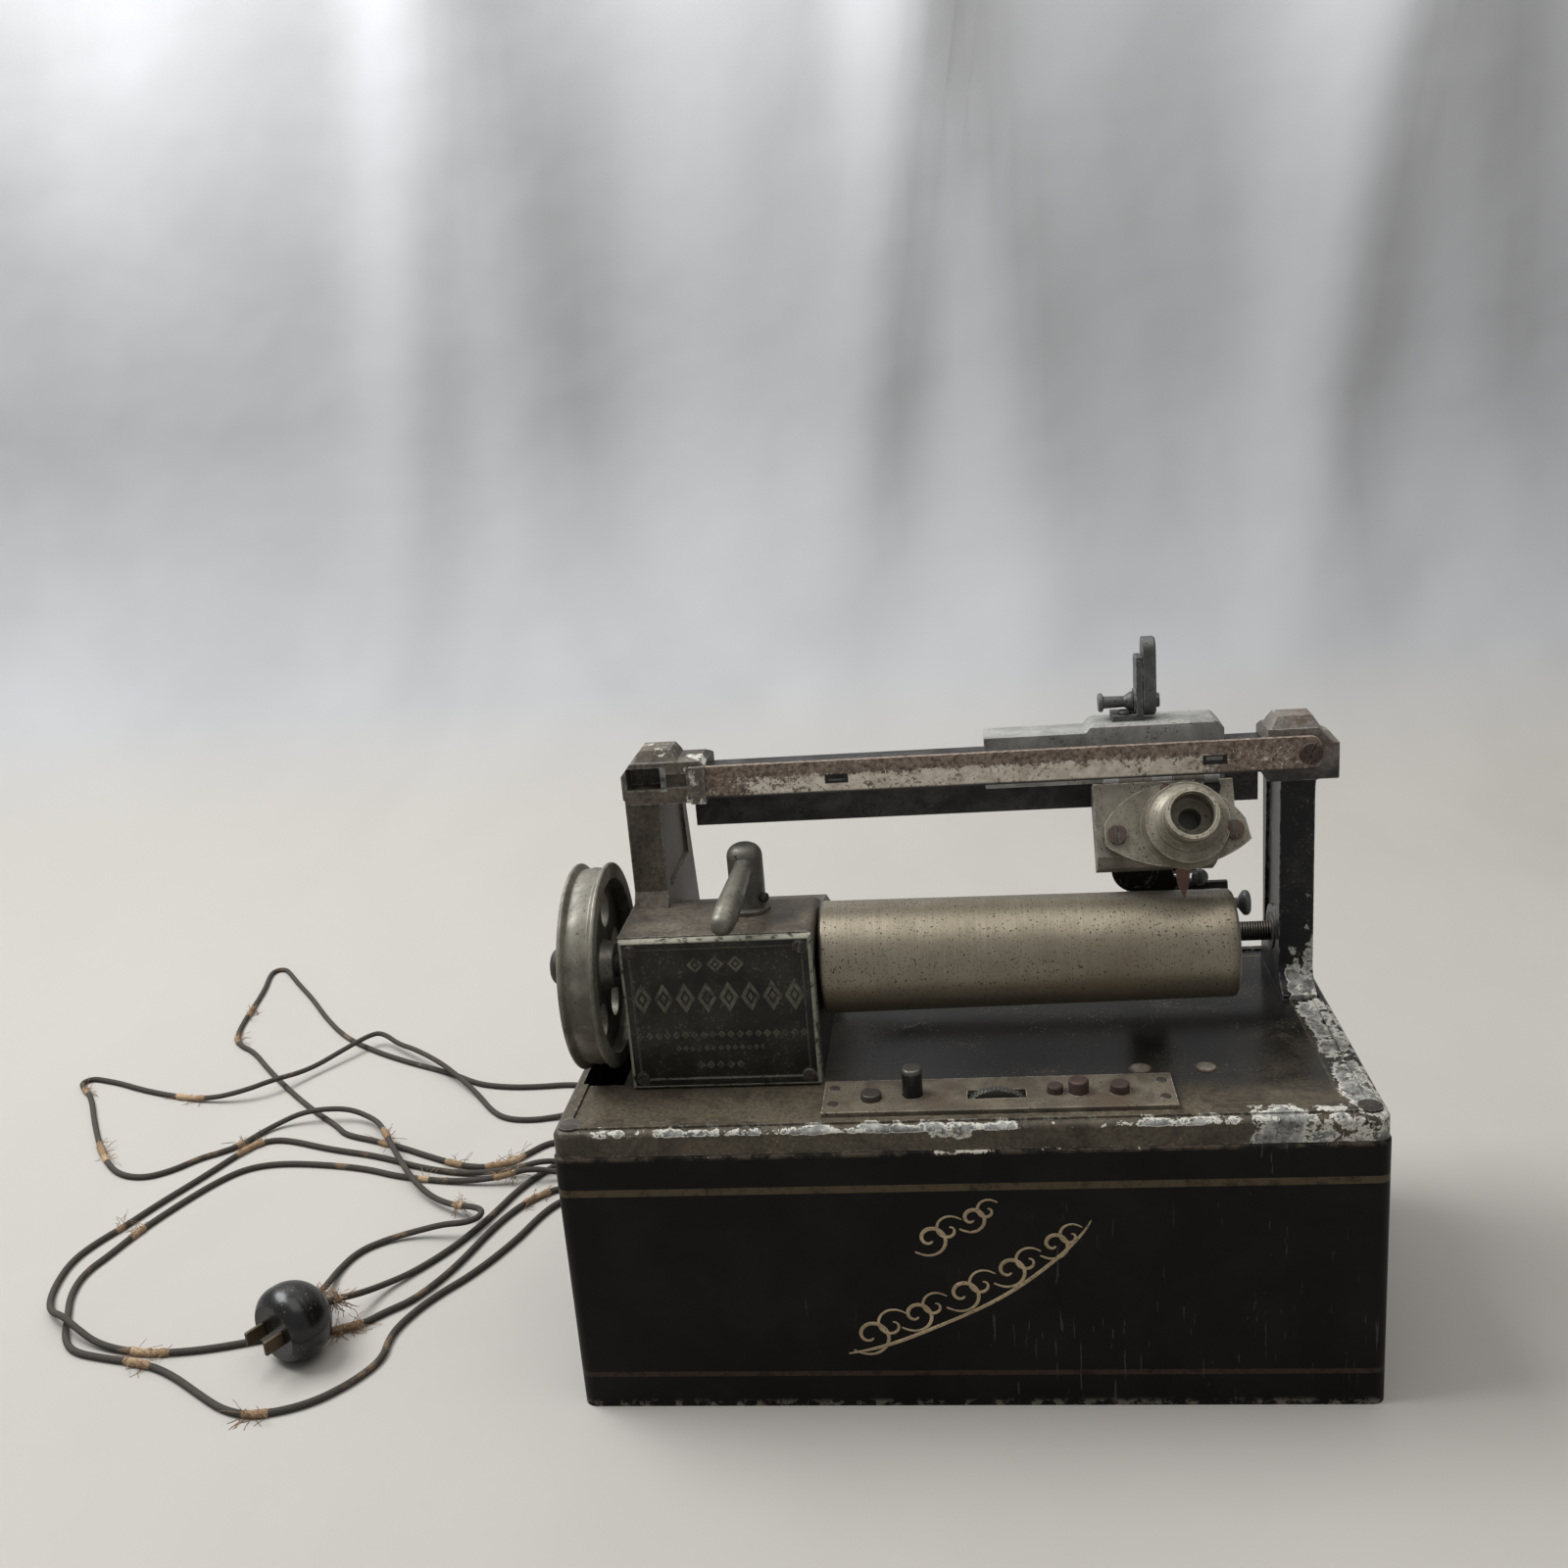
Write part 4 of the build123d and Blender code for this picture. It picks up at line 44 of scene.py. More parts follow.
# ------------------------------------------------------------------ materials
class Look:
    """Small builder of a procedural Principled material."""

    def __init__(self, name, metal=0.0, rough=0.5, spec=0.5, coat=0.0, coat_rough=0.1):
        self.m = bpy.data.materials.new(name)
        self.m.use_nodes = True
        self.t = self.m.node_tree
        self.t.nodes.clear()
        self.out = self.t.nodes.new("ShaderNodeOutputMaterial")
        self.b = self.t.nodes.new("ShaderNodeBsdfPrincipled")
        self.t.links.new(self.b.outputs[0], self.out.inputs[0])
        self.set("Metallic", metal)
        self.set("Roughness", rough)
        self.set("Specular IOR Level", spec)
        if coat:
            self.set("Coat Weight", coat)
            self.set("Coat Roughness", coat_rough)
        self.tc = self.t.nodes.new("ShaderNodeTexCoord")
        self.p = self.tc.outputs["Object"]

    def put(self, sock, v):
        if isinstance(v, bpy.types.NodeSocket):
            self.t.links.new(v, sock)
        elif isinstance(v, (tuple, list)):
            sock.default_value = tuple(v) + (1.0,) * (len(sock.default_value) - len(v))
        else:
            sock.default_value = v

    def set(self, name, v):
        self.put(self.b.inputs[name], v)
        return self

    def node(self, kind, **io):
        n = self.t.nodes.new(kind)
        for k, v in io.items():
            self.put(n.inputs[k.replace("_", " ")], v)
        return n

    def scaled(self, sx, sy, sz, loc=(0, 0, 0), vec=None):
        n = self.t.nodes.new("ShaderNodeMapping")
        self.put(n.inputs["Vector"], vec or self.p)
        n.inputs["Scale"].default_value = (sx, sy, sz)
        n.inputs["Location"].default_value = loc
        return n.outputs[0]

    def noise(self, scale, detail=4.0, rough=0.55, dist=0.0, vec=None):
        n = self.node("ShaderNodeTexNoise", Scale=scale, Detail=detail, Roughness=rough, Distortion=dist)
        self.put(n.inputs["Vector"], vec or self.p)
        return n.outputs["Fac"]

    def voronoi(self, scale, feature="F1", rand=1.0, vec=None):
        n = self.t.nodes.new("ShaderNodeTexVoronoi")
        n.feature = feature
        n.inputs["Scale"].default_value = scale
        n.inputs["Randomness"].default_value = rand
        self.put(n.inputs["Vector"], vec or self.p)
        return n.outputs["Distance"]

    def math(self, op, a, b=0.0, clamp=False):
        n = self.t.nodes.new("ShaderNodeMath")
        n.operation = op
        n.use_clamp = clamp
        self.put(n.inputs[0], a)
        self.put(n.inputs[1], b)
        return n.outputs[0]

    def span(self, v, lo, hi, a=0.0, b=1.0):
        n = self.t.nodes.new("ShaderNodeMapRange")
        n.interpolation_type = "SMOOTHSTEP"
        self.put(n.inputs["Value"], v)
        for k, w in (("From Min", lo), ("From Max", hi), ("To Min", a), ("To Max", b)):
            self.put(n.inputs[k], w)
        return n.outputs[0]

    def xyz(self, vec=None):
        n = self.t.nodes.new("ShaderNodeSeparateXYZ")
        self.put(n.inputs[0], vec or self.p)
        return n.outputs

    def band(self, v, lo, hi, soft=0.0004):
        """1 between lo and hi, 0 outside."""
        rise = self.span(v, lo - soft, lo + soft)
        return self.math("MULTIPLY", rise, self.span(v, hi - soft, hi + soft, 1, 0))

    def mix(self, f, a, b):
        n = self.t.nodes.new("ShaderNodeMix")
        n.data_type = "RGBA"
        self.put(n.inputs[0], f)
        self.put(n.inputs[6], a)
        self.put(n.inputs[7], b)
        return n.outputs[2]

    def fmix(self, f, a, b):
        n = self.t.nodes.new("ShaderNodeMix")
        self.put(n.inputs[0], f)
        self.put(n.inputs[2], a)
        self.put(n.inputs[3], b)
        return n.outputs[0]

    def normal_xyz(self):
        g = self.t.nodes.new("ShaderNodeNewGeometry")
        return self.xyz(g.outputs["Normal"])

    def edge(self, radius=0.0012, lo=0.02, hi=0.2):
        """1 on edges, 0 on flats, from the difference a bevel of that radius makes."""
        bv = self.t.nodes.new("ShaderNodeBevel")
        bv.samples = 6
        bv.inputs["Radius"].default_value = radius
        g = self.t.nodes.new("ShaderNodeNewGeometry")
        d = self.t.nodes.new("ShaderNodeVectorMath")
        d.operation = "DOT_PRODUCT"
        self.t.links.new(bv.outputs[0], d.inputs[0])
        self.t.links.new(g.outputs["Normal"], d.inputs[1])
        return self.span(self.math("SUBTRACT", 1.0, d.outputs["Value"]), lo, hi)

    def bump(self, height, strength=0.3, distance=0.0004):
        n = self.t.nodes.new("ShaderNodeBump")
        n.inputs["Strength"].default_value = strength
        n.inputs["Distance"].default_value = distance
        self.put(n.inputs["Height"], height)
        self.t.links.new(n.outputs[0], self.b.inputs["Normal"])
        return self

    def top(self, *masks):
        v = masks[0]
        for k in masks[1:]:
            v = self.math("MAXIMUM", v, k)
        return v

    def times(self, *masks):
        v = masks[0]
        for k in masks[1:]:
            v = self.math("MULTIPLY", v, k)
        return v


def aged_metal(name, light, dark, speck, rough=(0.34, 0.58), metal=0.75, blotch=60, pits=0.35,
               wear=None, wear_r=0.0008, tint=None, bump=0.25):
    """Tarnished plated metal: cloudy tone, dark pits, brighter worn edges."""
    k = Look(name, metal=metal)
    cloud = k.noise(blotch, 6, 0.62, 0.5)
    fine = k.noise(420, 6, 0.7)
    base = k.mix(k.span(cloud, 0.36, 0.66), dark, light)
    base = k.mix(k.span(fine, 0.35, 0.7, 0.0, 0.35), base, dark)
    if tint:
        base = k.mix(k.span(k.noise(blotch * 0.6, 4, 0.6, 0.3), 0.52, 0.72, 0.0, 0.7), base, tint)
    spots = k.times(k.span(k.noise(1100, 3, 0.6), 0.58, 0.66),
                    k.span(k.noise(blotch * 2.2, 3, 0.5), 0.6 - pits * 0.5, 0.8 - pits * 0.5))
    base = k.mix(spots, base, speck)
    rgh = k.fmix(k.span(cloud, 0.3, 0.7), rough[1], rough[0])
    if wear:
        e = k.times(k.edge(wear_r), k.span(k.noise(420, 4, 0.6), 0.4, 0.6))
        base = k.mix(e, base, wear)
        rgh = k.fmix(e, rgh, 0.3)
    k.set("Base Color", base)
    k.set("Roughness", k.fmix(spots, rgh, 0.8))
    k.bump(k.math("SUBTRACT", k.math("MULTIPLY", fine, 0.5), spots), bump, 0.00025)
    return k.m


def bare_patches(k, places, scale=150):
    """Jagged mask of peeled paint; places is a list of 0..1 masks of how likely paint is gone."""
    likely = k.top(*places)
    jag = k.math("ADD", k.math("MULTIPLY", k.noise(scale, 9, 0.72, 0.4), 0.6),
                 k.math("MULTIPLY", k.noise(42, 4, 0.6, 0.5), 0.55))
    v = k.math("ADD", jag, k.math("SUBTRACT", likely, 0.125))
    return v, k.span(v, 1.14, 1.17)


def enamel(name, color=(0.0065, 0.006, 0.0055), dust=(0.05, 0.042, 0.032), rough=0.25, dusty=0.4, coat=0.0,
           wear=(0.2, 0.2, 0.18), wear_amount=0.5, blotch=40, places=None, dust_at=None, spec=0.22,
           rim=0.0013, line=None, rust=None):
    """Black stoving enamel: settled dust, dull patches, rubbed edges and peeled patches."""
    k = Look(name, rough=rough, coat=coat, spec=spec)
    cloud = k.noise(blotch, 6, 0.62, 0.6)
    grit = k.noise(520, 6, 0.8)
    up = k.span(k.normal_xyz()[2], 0.1, 0.9, 0.4, 1.0)
    film = k.times(k.span(cloud, 0.66 - 0.35 * dusty, 0.98 - 0.35 * dusty), up)
    if dust_at:
        film = k.top(film, k.times(dust_at(k), k.span(cloud, 0.3, 0.6, 0.35, 1.0)))
    film = k.times(film, k.span(grit, 0.32, 0.66, 0.4, 1.0))
    col = k.mix(film, color, dust)
    specks = k.times(k.span(k.noise(900, 3, 0.6), 0.63, 0.68), k.span(cloud, 0.42, 0.58, 0.0, 0.85))
    col = k.mix(specks, col, (0.17, 0.14, 0.105))
    if rust:
        col = k.mix(k.math("MULTIPLY", rust(k), 0.8), col, (0.1, 0.064, 0.043))
    if line:
        gold = k.times(line(k), k.span(k.noise(240, 5, 0.7), 0.4, 0.6, 0.2, 0.8))
        col = k.mix(gold, col, (0.085, 0.064, 0.04))
    e = k.times(k.edge(rim), k.span(k.noise(330, 6, 0.72), 0.62 - 0.2 * wear_amount, 0.7 - 0.2 * wear_amount))
    col = k.mix(e, col, wear)
    rgh = k.fmix(k.top(film, e), rough, 0.7)
    height = k.math("ADD", k.math("MULTIPLY", grit, 0.3), k.math("MULTIPLY", cloud, 0.5))
    if places:
        v, bare = bare_patches(k, places(k))
        skin = k.mix(k.span(k.noise(140, 7, 0.75), 0.38, 0.62), (0.1, 0.1, 0.094), (0.31, 0.305, 0.28))
        skin = k.mix(k.times(k.span(v, 1.15, 1.155), k.span(v, 1.185, 1.21, 1, 0)), skin, (0.5, 0.48, 0.42))
        skin = k.mix(k.span(k.noise(420, 6, 0.7), 0.55, 0.62, 0, 0.85), skin, (0.04, 0.035, 0.03))
        col = k.mix(bare, col, skin)
        rgh = k.fmix(bare, rgh, 0.75)
        height = k.math("SUBTRACT", height, k.math("MULTIPLY", bare, 2.2))
    k.set("Base Color", col)
    k.set("Roughness", rgh)
    k.bump(height, 0.22, 0.0004)
    return k.m


def near(k, v, start, full):
    """0 at start rising to 1 at full along a coordinate, in millimetres."""
    lo, hi = (start, full) if start < full else (full, start)
    return k.span(v, lo * MM, hi * MM, *((0.0, 1.0) if start < full else (1.0, 0.0)))


def bed_places(k):
    x, y, z = k.xyz()[:3]
    front = k.math("MULTIPLY", near(k, y, -66.0, -80.5), 0.765)
    lip = k.top(near(k, z, 115.5, 119.5),
                k.times(near(k, z, 108.0, 118.0), near(k, x, -26.0, -6.0), near(k, x, 20.0, 2.0)))
    front = k.times(front, lip, k.fmix(k.span(k.noise(18, 3, 0.5), 0.38, 0.55), 0.84, 1.0))
    corner = k.times(near(k, y, -58.0, -74.0), near(k, x, 80.0, 108.0))
    side = k.times(near(k, x, 127.0, 144.0), near(k, y, 40.0, 14.0))
    return [front, k.math("MULTIPLY", corner, 0.76), k.math("MULTIPLY", side, 0.74)]


def bed_dust(k):
    x, y = k.xyz()[:2]
    near_box = k.times(near(k, x, -20.0, -50.0), near(k, y, 60.0, -40.0))
    film = k.times(near(k, x, 20.0, 120.0), near(k, y, 30.0, -10.0),
                   k.span(k.noise(16, 4, 0.6, 0.8), 0.4, 0.65, 0, 0.5))
    return k.math("MULTIPLY", k.top(near_box, near(k, y, -44.0, -62.0), film), 0.95)


def bed_line(k):
    """A thin line framing the bed's top."""
    x, y = k.xyz()[:2]
    outer = k.times(k.band(x, -0.1398, 0.1398, 0.0001), k.band(y, -0.0688, 0.0688, 0.0001))
    inner = k.times(k.band(x, -0.1386, 0.1386, 0.0001), k.band(y, -0.0676, 0.0676, 0.0001))
    return k.times(k.math("SUBTRACT", outer, inner), k.span(k.normal_xyz()[2], 0.8, 0.9))


def post_places(k):
    x, _, z = k.xyz()[:3]
    foot = k.math("MULTIPLY", k.times(near(k, z, 162.0, 134.0), near(k, x, 132.0, 140.0)), 0.76)
    rim = k.math("MULTIPLY", k.times(near(k, x, 142.0, 147.0), near(k, z, 215.0, 165.0)), 0.64)
    cap = k.math("MULTIPLY", near(k, z, 226.0, 238.0), 0.57)
    return [foot, rim, cap]


def block_rust(k):
    """Rust showing through on the right end block's upper corner."""
    x, z = k.xyz()[0], k.xyz()[2]
    return k.times(near(k, z, 234.0, 239.0), near(k, x, 128.0, 136.0),
                   k.span(k.noise(210, 7, 0.75), 0.5, 0.56))


def block_places(k):
    x, _, z = k.xyz()[:3]
    cap = k.math("MULTIPLY", near(k, z, 243.0, 249.0), 0.62)
    streak = k.math("MULTIPLY", k.times(near(k, z, 184.0, 196.0), near(k, x, -104.0, -101.5)), 0.62)
    post = k.times(k.band(x, -0.1118, -0.1090, 0.0002), k.band(z, 0.2345, 0.2450, 0.0002))
    return [cap, streak, post]


def roof_dust(k):
    return k.math("MULTIPLY", near(k, k.xyz()[2], 172.0, 186.0), 0.9)


def case_lacquer():
    """Satin black lacquer with dull gold lines, a rubbed lip with chips and faint scratches."""
    k = Look("case_lacquer", rough=0.38, spec=0.09)
    x, y, z = k.xyz()[:3]
    cloud = k.noise(26, 5, 0.6, 0.4)
    col = k.mix(k.span(cloud, 0.35, 0.75), (0.0048, 0.0045, 0.0041), (0.0095, 0.0088, 0.0074))
    worn = k.span(k.noise(240, 6, 0.7), 0.34, 0.54, 0.35, 0.9)
    col = k.mix(k.times(k.band(z, 0.0942, 0.0972, 0.00015), worn), col, (0.075, 0.056, 0.033))
    col = k.mix(k.times(k.band(z, 0.0138, 0.0160, 0.00015), worn), col, (0.042, 0.026, 0.019))
    lip = k.times(near(k, z, 108.7, 109.8), k.span(k.noise(120, 5, 0.7), 0.42, 0.6))
    col = k.mix(k.math("MULTIPLY", lip, 0.55), col, (0.11, 0.085, 0.06))
    jag = k.math("ADD", k.noise(210, 7, 0.7), k.math("MULTIPLY", near(k, z, 107.0, 110.5), 0.18))
    spot = k.times(near(k, x, -16.0, -8.0), near(k, x, 20.0, 12.0), near(k, y, -74.0, -80.0))
    chips = k.times(k.span(k.math("ADD", jag, k.math("MULTIPLY", spot, 0.12)), 0.81, 0.82),
                    near(k, z, 103.0, 106.0))
    col = k.mix(chips, col, (0.5, 0.46, 0.38))
    thin = k.noise(60, 3, 0.6, 0.2, vec=k.scaled(9.0, 1.0, 0.7))
    scratch = k.times(k.span(thin, 0.66, 0.68), k.span(k.noise(7, 3, 0.6), 0.5, 0.62))
    col = k.mix(k.math("MULTIPLY", scratch, 0.35), col, (0.1, 0.095, 0.085))
    low = k.times(near(k, z, 4.0, 1.0), k.span(k.noise(150, 5, 0.7), 0.5, 0.6))
    col = k.mix(low, col, (0.12, 0.1, 0.08))
    edge = k.times(k.edge(0.0014), k.span(k.noise(160, 5, 0.7), 0.55, 0.66))
    col = k.mix(edge, col, (0.16, 0.13, 0.1))
    k.set("Base Color", col)
    k.set("Roughness", k.fmix(k.span(cloud, 0.3, 0.7), 0.34, 0.5))
    k.bump(k.math("ADD", k.noise(300, 4, 0.6), k.math("MULTIPLY", chips, -3.0)), 0.08, 0.0004)
    return k.m


def mandrel_metal():
    """Dull brassy nickel drum: fine turning lines, pits, browner towards the bottom, painted shade on its
    lower side, and darker ends.
    """
    k = Look("mandrel_nickel", metal=0.55)
    x, _, z = k.xyz()[:3]
    cloud = k.noise(22, 7, 0.7, 0.3, vec=k.scaled(1.2, 1.0, 1.0))
    rings = k.noise(100, 4, 0.7, vec=k.scaled(26.0, 0.25, 0.25))
    base = k.mix(k.span(cloud, 0.35, 0.68), (0.2, 0.172, 0.122), (0.285, 0.248, 0.185))
    base = k.mix(k.span(rings, 0.35, 0.7, 0, 0.5), base, (0.13, 0.11, 0.075))
    # Browner and darker towards the bottom of the drum, broken up by noise.
    lower_brown_tone = k.times(k.span(k.noise(14, 5, 0.6), 0.5, 0.7), near(k, z, 190.0, 150.0))
    base = k.mix(k.math("MULTIPLY", lower_brown_tone, 0.55), base, (0.15, 0.1, 0.056))
    pits = k.times(k.span(k.noise(1150, 3, 0.6), 0.6, 0.65), k.span(cloud, 0.34, 0.52, 0.35, 1.0))
    base = k.mix(pits, base, (0.025, 0.02, 0.014))
    marks = k.times(k.span(k.noise(260, 6, 0.7), 0.7, 0.73), near(k, x, 70.0, 100.0))
    base = k.mix(marks, base, (0.5, 0.46, 0.36))
    # Painted shade: the drum's lower side is darkened into its colour.
    shade = k.times(near(k, z, 172.0, 146.0), k.span(cloud, 0.3, 0.6, 0.75, 1.0))
    base = k.mix(k.math("MULTIPLY", shade, 0.7), base, (0.07, 0.06, 0.042))
    ends = k.top(near(k, x, 104.5, 108.5), near(k, x, -49.0, -51.0))
    base = k.mix(k.math("MULTIPLY", ends, 0.6), base, (0.05, 0.04, 0.028))
    rim = k.times(k.edge(0.0007), k.span(k.noise(350, 4, 0.6), 0.35, 0.5))
    base = k.mix(rim, base, (0.5, 0.46, 0.36))
    k.set("Base Color", base)
    k.set("Roughness", k.fmix(pits, k.span(cloud, 0.3, 0.7, 0.46, 0.33), 0.8))
    k.bump(k.math("SUBTRACT", k.math("MULTIPLY", rings, 0.5), pits), 0.25, 0.0002)
    return k.m


def strip_plating():
    """Cream plating broken by rust: a brown upper third, specks below, rust at both ends, and painted shade
    in two slots and along the lower edge.
    """
    k = Look("strip_plating", metal=0.45)
    x, _, z = k.xyz()[:3]
    rust = k.mix(k.span(k.noise(520, 6, 0.75), 0.35, 0.65), (0.06, 0.043, 0.032), (0.25, 0.19, 0.145))
    plate = k.mix(k.span(k.noise(200, 6, 0.7), 0.35, 0.65), (0.42, 0.365, 0.29), (0.64, 0.58, 0.485))
    jag = k.math("ADD", k.math("MULTIPLY", k.noise(650, 5, 0.75), 0.6),
                 k.math("MULTIPLY", k.noise(110, 8, 0.75, 0.3), 0.4))
    more = k.top(k.math("MULTIPLY", near(k, z, 236.8, 240.6), 0.16),
                 k.math("MULTIPLY", near(k, x, -60.0, -92.0), 0.13),
                 k.math("MULTIPLY", near(k, x, 86.0, 118.0), 0.12))
    gone = k.span(k.math("ADD", jag, more), 0.53, 0.57)
    col = k.mix(gone, plate, rust)
    glint = k.times(k.span(k.noise(620, 5, 0.7), 0.64, 0.68), near(k, x, 92.0, 104.0))
    col = k.mix(glint, col, (0.75, 0.7, 0.6))
    # Painted shade: two open slots are painted near-black in place of the shade inside them.
    for sx in (-41.5, 103.4):
        slot_shade = k.times(k.band(x, (sx - 4.6) * MM, (sx + 4.6) * MM, 0.0002), k.band(z, 0.2348, 0.2386, 0.0002))
        col = k.mix(slot_shade, col, (0.012, 0.01, 0.008))
    # Painted shade: the strip's lower edge is darkened into its colour.
    col = k.mix(near(k, z, 232.4, 231.4), col, (0.03, 0.026, 0.022))
    k.set("Base Color", col)
    k.set("Metallic", k.fmix(gone, 0.3, 0.0))
    k.set("Roughness", k.fmix(gone, 0.42, 0.85))
    k.bump(k.math("SUBTRACT", k.math("MULTIPLY", jag, 0.3), gone), 0.35, 0.0003)
    return k.m


# Rows of lozenges: centre height, half height, pitch, half width, first and last x (mm).
LOZENGE_ROWS = ((173.6, 3.6, 8.0, 3.4, -103.0, -79.0), (159.8, 6.6, 8.6, 3.9, -125.5, -56.6),
                (144.0, 1.7, 3.6, 1.5, -125.2, -56.9), (138.3, 1.3, 2.8, 1.1, -110.0, -74.8),
                (131.0, 1.8, 4.0, 1.7, -102.5, -82.5))


def cover_enamel():
    """Etched plate: dark ground, a bevelled border with rubbed edges and a painted highlight, and rows of
    plain lozenges, all rubbed.
    """
    k = Look("cover_plate", metal=0.0, rough=0.4, spec=0.25)
    x, _, z = k.xyz()[:3]
    cloud = k.noise(45, 6, 0.62, 0.5)
    col = k.mix(k.span(cloud, 0.35, 0.7), (0.007, 0.0068, 0.005), (0.024, 0.0225, 0.016))
    figures = []
    for zc, hz, pitch, hx, x0, x1 in LOZENGE_ROWS:
        u = k.math("ABSOLUTE", k.math("SUBTRACT", k.math("PINGPONG", k.math("MULTIPLY", k.math(
            "SUBTRACT", x, x0 * MM), 1000.0), pitch / 2), pitch / 2 - 0.01))
        v = k.math("ABSOLUTE", k.math("MULTIPLY", k.math("SUBTRACT", z, zc * MM), 1000.0))
        r = k.math("ADD", k.math("DIVIDE", u, hx), k.math("DIVIDE", v, hz))
        ring = k.times(k.span(r, 0.96, 1.0, 1, 0), k.span(r, 0.5, 0.58))
        core = k.span(r, 0.26, 0.3, 1, 0)
        row = k.band(x, x0 * MM, x1 * MM, 0.0001)
        figures.append(k.times(k.top(ring, core), row))
    fig = k.top(*figures)
    worn = k.span(k.noise(260, 7, 0.7), 0.34, 0.62, 0.15, 1.0)
    col = k.mix(k.math("MULTIPLY", k.times(fig, worn), 0.85), col, (0.115, 0.108, 0.078))
    # The bevelled border outside the etched field is painted bright: rubbed metal on its edges, and a painted
    # highlight along the whole band.
    field = k.times(k.band(x, -0.1272, -0.0544, 0.0001), k.band(z, 0.1228, 0.1832, 0.0001))
    border_highlight_band = k.math("SUBTRACT", 1.0, field)
    edge = k.times(k.top(border_highlight_band, k.edge(0.0009)), k.span(k.noise(240, 5, 0.65), 0.34, 0.5))
    col = k.mix(edge, col, (0.24, 0.23, 0.18))
    dust = k.times(k.span(k.noise(700, 4, 0.7), 0.56, 0.66), k.span(cloud, 0.4, 0.6))
    col = k.mix(k.math("MULTIPLY", dust, 0.6), col, (0.13, 0.105, 0.07))
    k.set("Base Color", col)
    k.set("Roughness", k.fmix(edge, k.span(cloud, 0.3, 0.7, 0.5, 0.36), 0.35))
    k.bump(k.math("ADD", k.math("MULTIPLY", fig, 1.0), k.noise(500, 4, 0.6)), 0.2, 0.0003)
    return k.m


def cloth_cover(name, color, tan, amount):
    """Braided cloth over rubber, with places where the braid has gone tan."""
    k = Look(name, rough=0.85, spec=0.2)
    a = k.voronoi(1500, vec=k.scaled(1.0, 1.0, 1.0))
    v = k.noise(38, 5, 0.65)
    col = k.mix(k.span(v, 0.62 - amount, 0.7 - amount), color, tan)
    col = k.mix(k.span(k.noise(1400, 3, 0.6), 0.45, 0.7, 0, 0.55), col, (0.03, 0.026, 0.022))
    k.set("Base Color", col)
    k.bump(k.math("ADD", a, k.noise(1200, 3, 0.6)), 0.7, 0.0004)
    return k.m


def thread_steel():
    """Dark oiled shaft with a fine thread."""
    k = Look("thread_steel", metal=0.8, rough=0.4)
    x, y, z = k.xyz()[:3]
    angle = k.math("ARCTAN2", k.math("SUBTRACT", z, 0.1425), k.math("SUBTRACT", y, 0.045))
    turn = k.math("ADD", k.math("MULTIPLY", x, 2 * math.pi / 0.0011), angle)
    groove = k.math("SINE", turn)
    col = k.mix(k.span(groove, -0.5, 0.6), (0.025, 0.02, 0.017), (0.12, 0.105, 0.085))
    k.set("Base Color", col)
    k.bump(groove, 0.8, 0.0004)
    return k.m


